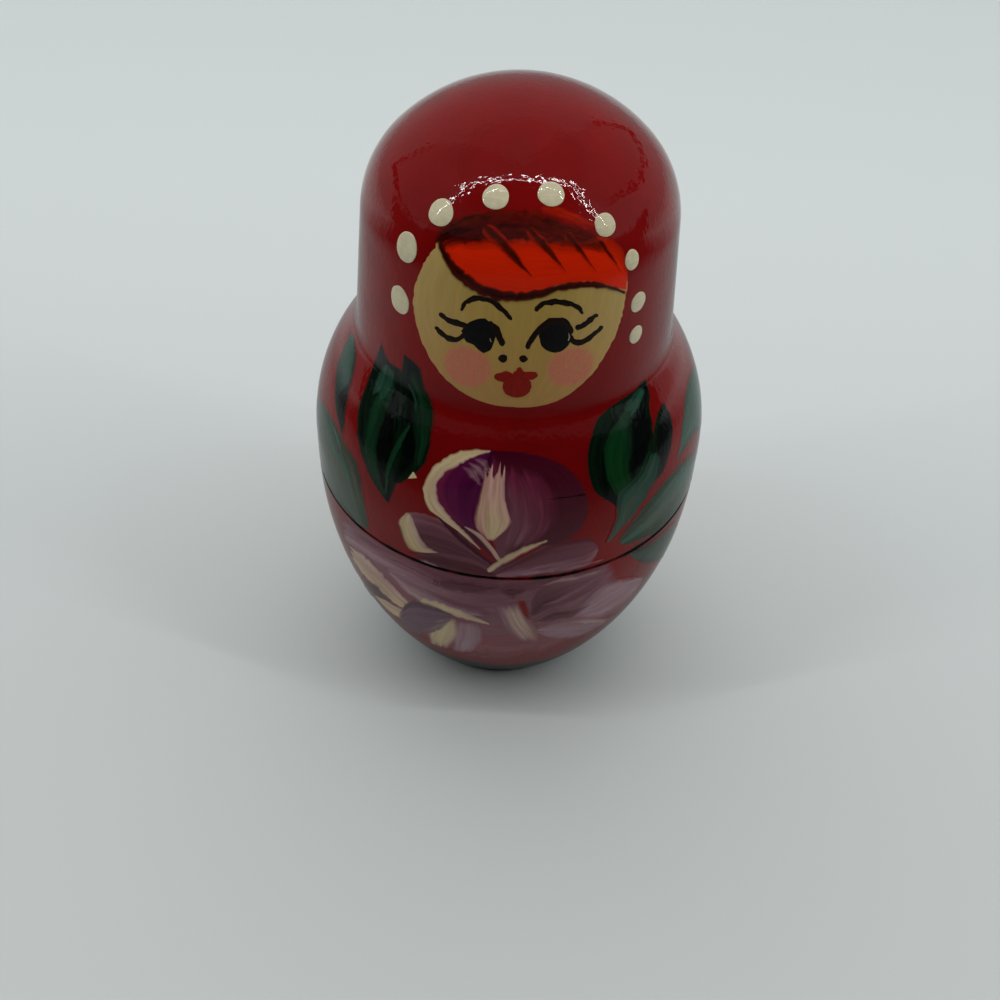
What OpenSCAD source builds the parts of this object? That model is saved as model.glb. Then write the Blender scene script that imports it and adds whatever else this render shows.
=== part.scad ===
// Nesting doll: a set of five turned wooden dolls, each inside the next.
// Four of them are hollow and part at the belly into a lower and an upper half; the smallest is solid.
// Millimetres, +Z up, origin in the middle of the outer doll's base. The painted face looks along -Y.

/* [Outer doll outline] */
// Radius at the belly
belly_r = 23; // [19:0.1:30]
// Radius of the flat base
base_r = 12.2; // [9:0.1:16]
// Height from the base to the crown
doll_h = 76; // [70:0.1:92]
// Height at which the straight belly band begins
belly_z = 30.4; // [26:0.1:34]
// Height of the straight belly band
band_h = 4.4; // [1:0.1:7]
// Radius of the arc that turns the shoulder in
shoulder_r = 22; // [18:0.1:30]
// Radius of the head at its cheeks
head_r = 16.7; // [14:0.1:18.5]
// How much wider the head is at the neck than at the cheeks
neck_flare = 1; // [0:0.1:2]
// Radius of the arc from the cheeks to the crown
cheek_r = 11; // [8:0.1:14]
// Radius of the crown
crown_r = 19; // [18.6:0.1:26]
// Height of the seam between the two halves
seam_z = 30.5; // [26:0.1:34]

/* [Fits] */
// Play between a lip and the socket it pushes into
fit_gap = 0.1; // [0.05:0.01:0.3]
// Free space round a doll inside the next one, at the belly
nest_gap = 0.6; // [0.5:0.05:1.2]
// Free space above a lip inside its socket
lip_end_gap = 0.5; // [0.3:0.05:1]
// Width of the chamfer on the two edges of a seam
seam_edge = 0.25; // [0.1:0.05:0.4]

/* [Outer doll walls] */
// Wall of the socket rim on the upper half
rim_1 = 2.2; // [1.6:0.1:3]
// Wall of the lip on the lower half
lip_1 = 2.0; // [1.5:0.1:2.8]
// Height of the lip above the seam
lip_h_1 = 6.0; // [4:0.1:8]
// Thickness of the floor
floor_1 = 4.0; // [2.5:0.1:6]

/* [Second doll walls] */
// Wall of the socket rim on the upper half
rim_2 = 1.8; // [1.4:0.1:2.4]
// Wall of the lip on the lower half
lip_2 = 1.6; // [1.2:0.1:2.2]
// Height of the lip above the seam
lip_h_2 = 4.8; // [3:0.1:6.5]
// Thickness of the floor
floor_2 = 3.2; // [2:0.1:5]

/* [Third doll walls] */
// Wall of the socket rim on the upper half
rim_3 = 1.45; // [1.1:0.05:2]
// Wall of the lip on the lower half
lip_3 = 1.25; // [1:0.05:1.8]
// Height of the lip above the seam
lip_h_3 = 3.8; // [2.5:0.1:5]
// Thickness of the floor
floor_3 = 2.6; // [1.6:0.1:4]

/* [Fourth doll walls] */
// Wall of the socket rim on the upper half
rim_4 = 1.2; // [0.9:0.05:1.6]
// Wall of the lip on the lower half
lip_4 = 1.0; // [0.8:0.05:1.4]
// Height of the lip above the seam
lip_h_4 = 3.0; // [2:0.1:4]
// Thickness of the floor
floor_4 = 2.1; // [1.2:0.1:3.2]

/* [Hidden] */
$fn = 96;

// Length by which a cutter runs past the face it opens
past = 1;

rims = [rim_1, rim_2, rim_3, rim_4];
lips = [lip_1, lip_2, lip_3, lip_4];
lip_heights = [lip_h_1, lip_h_2, lip_h_3, lip_h_4];
floors = [floor_1, floor_2, floor_3, floor_4];

// Arc of the lower half, through the base edge and upright at the belly
bowl_in = belly_r - base_r;
bowl_r = (bowl_in * bowl_in + belly_z * belly_z) / (2 * bowl_in);

// Shoulder arc, upright at the top of the belly band, and the crease where the head rises from it
shoulder_z = belly_z + band_h;
shoulder_x = belly_r - shoulder_r;
neck_r = head_r + neck_flare;
neck_z = shoulder_z + sqrt(shoulder_r * shoulder_r - pow(neck_r - shoulder_x, 2));

// Crown and cheek arcs, which share a tangent where they meet
crown_mid = [0, doll_h - crown_r];
cheek_x = head_r - cheek_r;
cheek_mid = crown_mid + [cheek_x, sqrt(pow(crown_r - cheek_r, 2) - cheek_x * cheek_x)];
brow = crown_mid + (cheek_mid - crown_mid) * crown_r / (crown_r - cheek_r);

// Side of the head: the straight line from the neck that touches the cheek arc
neck = [neck_r, neck_z];
neck_reach = norm(neck - cheek_mid);
cheek_angle = atan2(neck[1] - cheek_mid[1], neck[0] - cheek_mid[0]) + acos(cheek_r / neck_reach);
cheek = cheek_mid + cheek_r * [cos(cheek_angle), sin(cheek_angle)];
// The same line carried on into the shoulder by a share of its length, so that the two cross cleanly
root_share = 0.3;
neck_root = neck + (neck - cheek) * root_share;
// Place on the axis from which the cutters fan out that part the arcs of the head
fan = [0, neck_z];
fan_top = doll_h + crown_r;

// Belly radius of doll k, counted from 0 for the outer one: what the doll around it leaves
function doll_r(k) =
    k == 0 ? belly_r : doll_r(k - 1) - rims[k - 1] - fit_gap - lips[k - 1] - nest_gap;

// Size of doll k and of the hollow in it, against the outer doll
function doll_size(k) = doll_r(k) / belly_r;
function hollow_r(k) = doll_r(k + 1) + nest_gap;
function hollow_size(k) = hollow_r(k) / belly_r;

// Height of doll k's base in the closed set, and of its seam above that base
function doll_z(k) = k == 0 ? 0 : doll_z(k - 1) + floors[k - 1];
function doll_seam(k) = seam_z * doll_size(k);

// Radius of the outer doll at a height below its neck
function body_r(z) =
    z < belly_z ? belly_r - bowl_r + sqrt(bowl_r * bowl_r - pow(belly_z - z, 2))
    : z < shoulder_z ? belly_r
    : shoulder_x + sqrt(shoulder_r * shoulder_r - pow(z - shoulder_z, 2));

// Half section of a doll of the outer doll's size
module doll_section() {
    // bowl, up to the belly
    intersection() {
        translate([belly_r - bowl_r, belly_z]) circle(bowl_r);
        square([belly_r + past, belly_z]);
    }
    // straight band
    translate([0, belly_z]) square([belly_r, band_h]);
    // shoulder
    intersection() {
        translate([shoulder_x, shoulder_z]) circle(shoulder_r);
        translate([0, shoulder_z]) square([belly_r + past, shoulder_r + past]);
    }
    // sides of the head
    polygon([[0, shoulder_z], neck_root, cheek, brow, [0, brow[1]]]);
    // cheek
    intersection() {
        translate(cheek_mid) circle(cheek_r);
        polygon([fan, fan + 2 * (cheek - fan), fan + 2 * (brow - fan)]);
    }
    // crown
    intersection() {
        translate(crown_mid) circle(crown_r);
        polygon([fan, fan + 2 * (brow - fan), [2 * head_r, fan_top], [0, fan_top]]);
    }
}

// Half section of the hollow in doll k: the next doll with its play
module hollow_section(k) {
    translate([0, floors[k]]) scale(hollow_size(k)) doll_section();
}

// Cut that breaks the two outer edges of doll k's seam
module seam_cut(k) {
    translate([body_r(seam_z) * doll_size(k), doll_seam(k)])
        rotate(45) square(seam_edge * sqrt(2), center = true);
}

// Half section of doll k's lower half: a cup whose lip stands up inside the seam
module bottom_section(k) {
    lip_top = doll_seam(k) + lip_heights[k];
    // The hollow is straight from its widest place to the top of the lip, so that the next doll lifts out
    mouth_z = floors[k] + hollow_size(k) * belly_z;
    difference() {
        union() {
            intersection() {
                scale(doll_size(k)) doll_section();
                square([doll_r(k) + past, doll_seam(k)]);
            }
            translate([0, doll_seam(k) - past]) square([hollow_r(k) + lips[k], lip_heights[k] + past]);
        }
        hollow_section(k);
        translate([0, mouth_z]) square([hollow_r(k), lip_top + past - mouth_z]);
        seam_cut(k);
    }
}

// Half section of doll k's upper half: a cap with a socket for the lip
module top_section(k) {
    socket_h = lip_heights[k] + lip_end_gap + past;
    // The hollow is straight up to its widest place, so that the cap lifts off the next doll
    mouth_h = max(floors[k] + hollow_size(k) * shoulder_z - doll_seam(k), 0) + past;
    difference() {
        intersection() {
            scale(doll_size(k)) doll_section();
            translate([0, doll_seam(k)]) square([doll_r(k) + past, doll_h]);
        }
        hollow_section(k);
        translate([0, doll_seam(k) - past]) square([hollow_r(k), mouth_h + past]);
        translate([0, doll_seam(k) - past]) square([hollow_r(k) + lips[k] + fit_gap, socket_h]);
        seam_cut(k);
    }
}

// Lower half of doll k, where it stands in the closed set
module doll_bottom(k) {
    translate([0, 0, doll_z(k)]) rotate_extrude() bottom_section(k);
}

// Upper half of doll k, where it sits in the closed set
module doll_top(k) {
    translate([0, 0, doll_z(k)]) rotate_extrude() top_section(k);
}

module outer_bottom() {
    color("palevioletred") doll_bottom(0);
}

module outer_top() {
    color("firebrick") doll_top(0);
}

module second_bottom() {
    color("palevioletred") doll_bottom(1);
}

module second_top() {
    color("firebrick") doll_top(1);
}

module third_bottom() {
    color("palevioletred") doll_bottom(2);
}

module third_top() {
    color("firebrick") doll_top(2);
}

module fourth_bottom() {
    color("palevioletred") doll_bottom(3);
}

module fourth_top() {
    color("firebrick") doll_top(3);
}

// Solid doll in the middle of the set
module smallest_doll() {
    color("firebrick")
        translate([0, 0, doll_z(4)])
        rotate_extrude() scale(doll_size(4)) doll_section();
}

outer_bottom();
outer_top();
second_bottom();
second_top();
third_bottom();
third_top();
fourth_bottom();
fourth_top();
smallest_doll();
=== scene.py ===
"""Nesting doll: five turned limewood dolls, each inside the next, painted in gouache and lacquered.

Lengths are millimetres until a mesh is made, and MM turns them to metres there. All dolls share one outline
at their own scale. The painting is drawn once, as brush strokes on the outer doll, and every doll carries
it at its scale. A point of a stroke is a pixel of the 1000 x 1000 picture, and the sight line through it
meets the doll there.
"""

import bpy
import numpy as np
from mathutils import Matrix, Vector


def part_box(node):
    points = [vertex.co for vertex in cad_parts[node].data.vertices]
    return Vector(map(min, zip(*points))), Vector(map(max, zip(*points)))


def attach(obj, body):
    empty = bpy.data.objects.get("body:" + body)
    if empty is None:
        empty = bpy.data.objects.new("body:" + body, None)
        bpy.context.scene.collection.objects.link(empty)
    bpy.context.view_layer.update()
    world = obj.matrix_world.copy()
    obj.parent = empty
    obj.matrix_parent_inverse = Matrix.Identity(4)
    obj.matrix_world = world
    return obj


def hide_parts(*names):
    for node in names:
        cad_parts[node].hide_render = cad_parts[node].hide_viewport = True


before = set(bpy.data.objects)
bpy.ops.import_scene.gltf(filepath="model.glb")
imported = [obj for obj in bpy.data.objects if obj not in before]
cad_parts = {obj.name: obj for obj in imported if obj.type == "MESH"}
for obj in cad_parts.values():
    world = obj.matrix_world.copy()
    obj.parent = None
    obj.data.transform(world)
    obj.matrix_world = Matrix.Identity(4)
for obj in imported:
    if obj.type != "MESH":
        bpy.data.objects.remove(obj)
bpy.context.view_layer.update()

MM = 0.001
DOLLS = ["outer", "second", "third", "fourth", "smallest"]

# Outline of the outer doll: what the frame doesn't tell
BASE_R = 12.2
BELLY_Z = 30.4
BAND_H = 4.4
SHOULDER_R = 22.0
HEAD_R = 16.7
NECK_FLARE = 1.0
CHEEK_R = 11.0
CROWN_R = 19.0
NECK_SOFT = 2.0
FOOT_ROUND = 0.5

# Fits and walls
NEST_GAP = 0.6
FIT_GAP = 0.1
LIP_END_GAP = 0.5
SEAM_EDGE = 0.25
LIP_WALLS = [2.0, 1.6, 1.25, 1.0]
LIP_BREAK = 0.25

# Camera, in the doll's frame
CAMERA_AT = np.array([0.0, -110.7, 129.3])
CAMERA_AIM = np.array([-0.5, 0.0, 19.9])
CAMERA_ROLL = np.radians(3.07)
CAMERA_LENS = 43.2
SENSOR = 36.0
PICTURE = 1000
FOCAL_PX = CAMERA_LENS / SENSOR * PICTURE
PX_PER_MM = 9.2
# Sight lines: nearest and farthest depth tried, halvings at the surface, and how far round a miss lands
SIGHT_NEAR, SIGHT_FAR = 70, 190
SIGHT_HALVINGS = 24
ROUND_THE_EDGE = 3.0

# Paint films
LAYER = 0.008
SINK = 0.04
STEP_ALONG = 0.36
STEP_ACROSS = 0.17
DOT_DOME = 0.12
DOT_LAYER = 7
# Parts into which a step of a stroke is cut when it is laid on the canvas
CANVAS_FINE = 8
# Widths of a brush's marks: between its bristles, on its edges, where it thins and in its streaks
BRISTLE = 0.3
EDGE_WAVE = 0.35
THIN_MARK = 0.25
STREAK_MARK = 0.2

# Ground paint, by heights on the outer doll: painted shade on the chest, the seam near black as painted shade
# of its gap with some wear, and the dark foot
RED_PATCHES = 0.25
CHEST_Z = 44.0
CHEST_HIGH = 9.0
CHEST_TURN = 1.1
CHEST_SHADE = 0.6
SEAM_SHADE_AND_WEAR = 0.27
SEAM_FADE = 0.08
FOOT_BAND = 8.4
FOOT_FADE = 1.2

# Board on the floor: its size, and where its colour and its mirrored light change, from the doll's axis
FLOOR_DROP = 0.05
FLOOR_HALF = 1500.0
FLOOR_BACK = 130.0
FLOOR_NEAR = 20.0
FLOOR_FRONT = -60.0
MIRROR_DARK_FRONT = -120.0
FLOOR_SIDE = 110.0
# Shares of its light that the lacquer mirrors, darkened as painted shade: far to the front, near the doll and
# far out to the sides
MIRROR_FRONT_SHARE = 0.12
MIRROR_NEAR = 0.62
MIRROR_SIDE = 0.1

# Light box: its front frame with the strip, seen from the head, and the light in it
HEAD_AT = np.array([0.0, -11.0, 71.0])
FRAME_HALF = 460.0
FRAME_TOP = 636.0
FRAME_FRONT = -108.0
SIDE_FRONT = -168.0
SIDE_LOW = 240.0
STRIP_DEPTH = 5.0
STRIP_RADIANCE = 80.0
BOX_GREY = 0.34
CURTAIN_GREY = 0.14
BOUNCE = 4.5
CAMERA_GREY = 0.6

# Panels of the box, as planes through the doll: a direction's product with one says on which side it lies
LEFT_PANEL = (-1, -1.43, 0)
RIGHT_PANEL = (1, -0.65, 0)
FRONT_GAP = (0, -1.7, 1)
CURTAIN_EDGE = (0, 0.5, 1)
PANEL_WAVE = 0.16
LEFT_FOOT = 0.34
RIGHT_FOOT = 0.68
RIGHT_FOOT_RISE = 0.46
GAP_LEVEL = -0.25
SOFT_EDGE = {"interpolation_type": "SMOOTHSTEP"}

# Lacquer, streaks that the bristles leave along and across a stroke, specks of blush, and wood
LACQUER_IOR = 1.4
FLOW_WAVE = 6.0
FLOW_DEPTH = 0.1
GRAIN_RIPPLE = 0.42
RIPPLE_DEPTH = 0.019
STREAK_LONG = 5.0
STREAK_WIDE = 0.22
SPECK = 0.24
# Limewood's vessels are under 0.1 mm apart, and are drawn wider so that they show
VESSEL = 0.28
GRAIN_BAND = 2.4
GRAIN_STRETCH = 0.05

# Paints and surfaces, as sRGB
RED = "#7e0a0b"
RED_DARK = "#640708"
CREAM = "#cdb68c"
CREAM_PINK = "#c2a392"
FAN_PINK = "#c8988e"
TAN = "#b39458"
DOT_WHITE = "#d3c9a9"
FACE_WOOD = "#bc9f63"
FACE_YELLOW = "#b2954a"
FACE_TAN = "#b0844c"
BLUSH = "#ca6f5e"
LIP_RED = "#86180f"
INK = "#1a0d08"
EYE_BLACK = "#0c0d0c"
HAIR_ORANGE = "#d92606"
HAIR_SHADE = "#a11c06"
HAIR_BROWN = "#4a1007"
SMOKE = "#2e0805"
LEAF_BLACK = "#060a07"
LEAF_DEEP = "#0a2012"
LEAF_MID = "#12351f"
LEAF_GREEN = "#0b3b17"
LEAF_PALE = "#24493a"
LEAF_MIST = "#38594b"
VIOLET = "#540f3b"
VIOLET_DEEP = "#340524"
MAROON = "#40061a"
PLUM = "#70223f"
MAUVE_DARK = "#50202b"
MAUVE = "#6c3d48"
MAUVE_PALE = "#8f6670"
LILAC = "#9f7d87"
MAUVE_MID = "#7f545d"
BUD_MAUVE = "#6c4e5c"
BUD_DEEP = "#4a333f"
MAUVE_RED = "#88464d"
BASE_GREEN = "#0e1813"
# Near-black brown: on the seam it is painted shade of the gap, with some wear
SEAM_BROWN = "#120504"
LIMEWOOD = "#c9a878"
# Board darker at the front than at the back: painted light falling off towards the front
BOARD_FRONT = "#c1c5c4"
BOARD_BACK = "#d3d9d8"
BOX_WHITE = "#fafdfd"


def linear(colour):
    """Linear light of an sRGB hex colour: each channel through the sRGB curve."""
    c = np.array([int(colour[i:i + 2], 16) for i in (1, 3, 5)]) / 255
    return np.where(c <= 0.04045, c / 12.92, ((c + 0.055) / 1.055) ** 2.4)


def smooth(x):
    """S-curve from 0 to 1."""
    x = np.clip(x, 0, 1)
    return x * x * (3 - 2 * x)


def mottle(x, y, seed=0):
    """Smooth random field from -1 to 1: values hashed at whole-number places and blended between them by
    S-curves."""
    def corner(i, j):
        return 2 * np.modf(np.abs(np.sin(i * 127.1 + j * 311.7 + seed * 74.7) * 43758.5453))[0] - 1

    i, j = np.floor(x), np.floor(y)
    a, b = smooth(x - i), smooth(y - j)
    low = corner(i, j) * (1 - a) + corner(i + 1, j) * a
    high = corner(i, j + 1) * (1 - a) + corner(i + 1, j + 1) * a
    return low * (1 - b) + high * b


# Sizes that the frame gives, one per doll
def doll_sizes():
    """Belly radius of every doll and the heights of its base, seam, lip and crown, from its solids' boxes."""
    rows = []
    for doll in DOLLS[:-1]:
        low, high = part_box(f"{doll}_bottom"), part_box(f"{doll}_top")
        rows.append([high[1].x, low[0].z, high[0].z, low[1].z, high[1].z])
    low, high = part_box("smallest_doll")
    rows.append([high.x, low.z, low.z, low.z, high.z])
    return np.round(np.array(rows) / MM, 3).T


DOLL_R, DOLL_BASE, DOLL_SEAM, LIP_TOP, DOLL_TOP = doll_sizes()
BELLY_R = DOLL_R[0]
DOLL_H = DOLL_TOP[0]
SEAM_Z = DOLL_SEAM[0]
DOLL_SIZE = DOLL_R / BELLY_R


def arc(mid, radius, start, end):
    """Points every quarter millimetre on a circle, from one angle to another."""
    angle = np.linspace(start, end, int(abs(end - start) * radius / 0.25) + 2)
    return mid + radius * np.stack([np.cos(angle), np.sin(angle)], 1)


def doll_outline():
    """Radius and height from the base edge to the crown: the bowl, the straight band, the shoulder, the
    straight side of the head, the cheek and the crown, with the crease at the neck eased by a moving
    average."""
    bowl_in = BELLY_R - BASE_R
    bowl_r = (bowl_in ** 2 + BELLY_Z ** 2) / (2 * bowl_in)
    shoulder_mid = np.array([BELLY_R - SHOULDER_R, BELLY_Z + BAND_H])
    neck_x = HEAD_R + NECK_FLARE
    neck = np.array([neck_x, shoulder_mid[1] + np.sqrt(SHOULDER_R ** 2 - (neck_x - shoulder_mid[0]) ** 2)])
    crown_mid = np.array([0, DOLL_H - CROWN_R])
    cheek_x = HEAD_R - CHEEK_R
    cheek_mid = crown_mid + [cheek_x, np.sqrt((CROWN_R - CHEEK_R) ** 2 - cheek_x ** 2)]
    to_neck = neck - cheek_mid
    cheek_angle = np.arctan2(to_neck[1], to_neck[0]) + np.arccos(CHEEK_R / np.hypot(*to_neck))
    brow_angle = np.arctan2(cheek_mid[1] - crown_mid[1], cheek_mid[0] - crown_mid[0])
    neck_angle = np.arctan2(neck[1] - shoulder_mid[1], neck[0] - shoulder_mid[0])
    parts = [
        arc(np.array([BELLY_R - bowl_r, BELLY_Z]), bowl_r, -np.arcsin(BELLY_Z / bowl_r), 0),
        arc(shoulder_mid, SHOULDER_R, 0, neck_angle),
        arc(cheek_mid, CHEEK_R, cheek_angle, brow_angle),
        arc(crown_mid, CROWN_R, brow_angle, np.pi / 2),
    ]
    rough = np.concatenate(parts)
    run = np.r_[0, np.cumsum(np.hypot(*np.diff(rough, axis=0).T))]
    rough, run = rough[np.r_[True, np.diff(run) > 1e-6]], run[np.r_[True, np.diff(run) > 1e-6]]
    step = 0.1
    even = np.linspace(0, run[-1], int(run[-1] / step))
    r, z = np.interp(even, run, rough[:, 0]), np.interp(even, run, rough[:, 1])
    window = np.hanning(int(2 * NECK_SOFT / step) | 1)
    eased = np.convolve(np.pad(r, len(window) // 2, mode="edge"), window / window.sum(), "valid")
    share = smooth(1.5 - np.abs(z - neck[1]) / NECK_SOFT)
    return r + share * (eased - r), z


OUT_R, OUT_Z = doll_outline()
OUT_SLOPE = np.gradient(OUT_R, OUT_Z)


def radius_at(z):
    """Outer doll's radius at a height."""
    return np.interp(z, OUT_Z, OUT_R)


def on_surface(azimuth, z, lift, k):
    """Points of doll k at an azimuth from the face and a height on the outer doll, raised along the
    normal."""
    slope = np.interp(z, OUT_Z, OUT_SLOPE)
    tilt = 1 / np.sqrt(1 + slope ** 2)
    r = radius_at(z) + lift * tilt
    up = z - lift * slope * tilt
    points = np.stack([r * np.sin(azimuth), -r * np.cos(azimuth), up], -1) * DOLL_SIZE[k]
    points[..., 2] += DOLL_BASE[k]
    return points


# Camera and sight lines
def camera_axes():
    """Right, up and forward of the camera: it looks from its place at its aim and then rolls about that
    line."""
    forward = (CAMERA_AIM - CAMERA_AT) / np.linalg.norm(CAMERA_AIM - CAMERA_AT)
    right = np.cross(forward, [0, 0, 1])
    right /= np.linalg.norm(right)
    up = np.cross(right, forward)
    c, s = np.cos(CAMERA_ROLL), np.sin(CAMERA_ROLL)
    return right * c + up * s, up * c - right * s, forward


CAMERA_RIGHT, CAMERA_UP, CAMERA_FORWARD = camera_axes()


def place_camera():
    """The photograph's view, as a perspective camera without depth of field."""
    data = bpy.data.cameras.new("camera")
    data.sensor_width = SENSOR
    data.lens = CAMERA_LENS
    data.clip_start = 0.005
    camera = bpy.data.objects.new("camera", data)
    axes = np.eye(4)
    axes[:3, 0], axes[:3, 1], axes[:3, 2] = CAMERA_RIGHT, CAMERA_UP, -CAMERA_FORWARD
    axes[:3, 3] = CAMERA_AT * MM
    camera.matrix_world = Matrix(axes.tolist())
    bpy.context.scene.collection.objects.link(camera)
    bpy.context.scene.camera = camera


def on_doll(pixels):
    """Azimuth and height at which the sight lines through these pixels first meet the outer doll. The gap
    between line and surface is sampled along each line, and the first change of sign is halved down. A line
    that misses lands round the edge, ROUND_THE_EDGE times as far as it misses."""
    x = (pixels[..., 0] - PICTURE / 2) / FOCAL_PX
    y = (PICTURE / 2 - pixels[..., 1]) / FOCAL_PX
    ray = CAMERA_FORWARD + x[..., None] * CAMERA_RIGHT + y[..., None] * CAMERA_UP

    def gap(depth):
        p = CAMERA_AT + ray[..., None, :] * depth[..., None]
        return np.hypot(p[..., 0], p[..., 1]) - radius_at(p[..., 2]), p

    depth = np.broadcast_to(np.arange(SIGHT_NEAR, SIGHT_FAR + 1.0), x.shape + (SIGHT_FAR - SIGHT_NEAR + 1,))
    gaps, _ = gap(depth)
    inside = gaps < 0
    hit = inside.any(-1)
    first = np.where(hit, inside.argmax(-1), gaps.argmin(-1))[..., None]
    low = np.take_along_axis(depth, np.maximum(first - 1, 0), -1)
    high = np.take_along_axis(depth, first, -1)
    for _ in range(SIGHT_HALVINGS):
        mid = (low + high) / 2
        within = gap(mid)[0] < 0
        low, high = np.where(within, low, mid), np.where(within, mid, high)
    last, p = gap(high)
    p = p[..., 0, :]
    missed = np.where(hit, 0, last[..., 0])
    azimuth = np.arctan2(p[..., 0], -p[..., 1])
    azimuth += np.sign(azimuth) * ROUND_THE_EDGE * missed / BELLY_R
    return azimuth, np.clip(p[..., 2], OUT_Z[0], OUT_Z[-1])


# Shapes of a stroke, in the picture: functions of u along it and v across it
def curve(points, share):
    """Smooth curve through points, at shares of its length: cubic pieces whose slope at a point is that of
    the chord between its two neighbours."""
    p = np.asarray(points, float)
    knots = np.r_[0, np.cumsum(np.hypot(*np.diff(p, axis=0).T))]
    knots /= knots[-1]
    slope = np.gradient(p, knots, axis=0)
    i = np.clip(np.searchsorted(knots, share, side="right") - 1, 0, len(p) - 2)
    width = (knots[i + 1] - knots[i])[..., None]
    s = (share - knots[i])[..., None] / width
    near = (1 + 2 * s) * (1 - s) ** 2 * p[i] + s * (1 - s) ** 2 * width * slope[i]
    far = s ** 2 * (3 - 2 * s) * p[i + 1] + s ** 2 * (s - 1) * width * slope[i + 1]
    return near + far


def petal(left, right):
    """Sheet between two edges: a point is v of the way from one edge to the other."""
    def shape(u, v):
        return curve(left, u) * (1 - v)[..., None] + curve(right, u) * v[..., None]
    return shape


def line(spine, widths):
    """Line along a spine: v carries a point across it by the width there, and the ends are round."""
    def shape(u, v):
        middle = curve(spine, u)
        ahead = curve(spine, np.minimum(u + 0.01, 1)) - curve(spine, np.maximum(u - 0.01, 0))
        length = np.hypot(ahead[..., 0], ahead[..., 1])[..., None]
        side = np.stack([-ahead[..., 1], ahead[..., 0]], -1) / length
        width = np.interp(u, np.linspace(0, 1, len(widths)), widths) * PX_PER_MM
        run = np.hypot(*np.diff(np.array(spine, float), axis=0).T).sum()
        end = np.clip(np.minimum(u, 1 - u) * run / (width / 2), 0, 1)
        width = width * np.maximum(np.sqrt(1 - (1 - end) ** 2), 0.06)
        return middle + side * (width * (v - 0.5))[..., None]
    return shape


def oval(mid, across, high):
    """Ellipse by its two diameters: u runs down it, and v across by the half width there."""
    def shape(u, v):
        down = 2 * u - 1
        half = np.maximum(np.sqrt(np.maximum(1 - down ** 2, 0)), 0.06)
        x = mid[0] + across / 2 * PX_PER_MM * half * (2 * v - 1)
        y = mid[1] + high / 2 * PX_PER_MM * down
        return np.stack([x, y + 0 * x], -1)
    return shape


def ramp(stops, share):
    """Colour at a share along evenly spaced paints."""
    place = np.linspace(0, 1, len(stops))
    paints = np.array([linear(c) for c in stops])
    return np.stack([np.interp(share, place, paints[:, i]) for i in range(3)], -1)


def stroke(shape, layer, paints, tail=None, comb=0.08, streak=0.12, ragged=0.05, dry=(0, 0), grainy=0,
           soft=0, thin=0, bead=0.006, seed=1):
    """One brush stroke on the outer doll. Its grid is even in u and v and a little closer at the ends.
    Noise moves its edges by ragged millimetres and its two ends by dry ones, so that bristles show. Its
    colour runs across it through paints, and along it to tail, both shifted by noise that is long in u and
    short in v. Its cover falls to nothing at its edges over soft millimetres, and by the share thin where a
    bristle left little paint."""
    t, v = np.meshgrid(np.linspace(0, 1, 13), np.linspace(0, 1, 7), indexing="ij")
    rough = shape(t, v)
    length = np.hypot(*np.diff(rough, axis=0).T).T.sum(0).max() / PX_PER_MM
    width = np.hypot(*np.diff(rough, axis=1).T).T.sum(1).max() / PX_PER_MM
    nu = 2 * max(int(np.ceil(length / STEP_ALONG / 2)), 4) + 1
    nv = 2 * max(int(np.ceil(width / STEP_ACROSS / 2)), 2) + 1
    t, v = np.meshgrid(np.linspace(0, 1, nu), np.linspace(0, 1, nv), indexing="ij")
    t = t - 0.5 * np.sin(2 * np.pi * t) / (2 * np.pi)
    across = v * width
    start = dry[0] / length * (0.5 + 0.5 * mottle(across / BRISTLE, across * 0, seed))
    end = 1 - dry[1] / length * (0.5 + 0.5 * mottle(across / BRISTLE, across * 0 + 7, seed))
    u = start + (end - start) * t
    along = u * length
    left_wave = mottle(along / EDGE_WAVE, along * 0, seed + 2)
    right_wave = mottle(along / EDGE_WAVE, along * 0 + 5, seed + 2)
    wander = (1 - v) * left_wave + v * right_wave
    pixel = shape(u, np.clip(v + ragged / width * wander, -0.2, 1.2))
    azimuth, z = on_doll(pixel)
    steps = np.linalg.norm(np.diff(pixel, axis=1), axis=-1)
    from_left = np.pad(steps, ((0, 0), (1, 0))).cumsum(1) / PX_PER_MM
    inward = np.minimum(from_left, from_left[:, -1:] - from_left)
    inward = np.minimum(inward, np.minimum(t, 1 - t) * length)
    cover = 1 + 0 * u
    if soft:
        cover = smooth(inward / (soft * (1 + 0.6 * mottle(across / THIN_MARK, along / 2, seed + 6))))
    cover = cover * (1 - thin * smooth(0.5 + 0.8 * mottle(across / THIN_MARK, along / 3, seed + 7)))
    shift = comb * mottle(across / BRISTLE, along / 5, seed + 3)
    rgb = ramp(paints, v + shift)
    if tail:
        rgb = rgb + (ramp(tail, v + shift) - rgb) * smooth(u + shift)[..., None]
    patches = streak * mottle(across / STREAK_MARK, along / 4, seed + 4)
    patches = patches + grainy * mottle(across / BRISTLE, along / (2 * BRISTLE), seed + 5)
    rgb = rgb * np.maximum(1 + patches, 0.2)[..., None]
    lift = LAYER * (layer + 1) + bead * (1 - (2 * v - 1) ** 4) * (1 - (2 * t - 1) ** 8)
    return {"azimuth": azimuth, "z": z, "lift": lift, "rgb": rgb, "uv": np.stack([along, across], -1),
            "pixel": pixel, "cover": cover, "layer": layer}


def finer(grid, times):
    """Grid with so many times the steps each way, blended straight between its points."""
    for axis in (0, 1):
        n = grid.shape[axis]
        place = np.linspace(0, n - 1, (n - 1) * times + 1)
        low = np.minimum(place.astype(int), n - 2)
        share = (place - low).reshape((-1, 1, 1) if axis == 0 else (1, -1, 1))
        grid = np.take(grid, low, axis) * (1 - share) + np.take(grid, low + 1, axis) * share
    return grid


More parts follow.
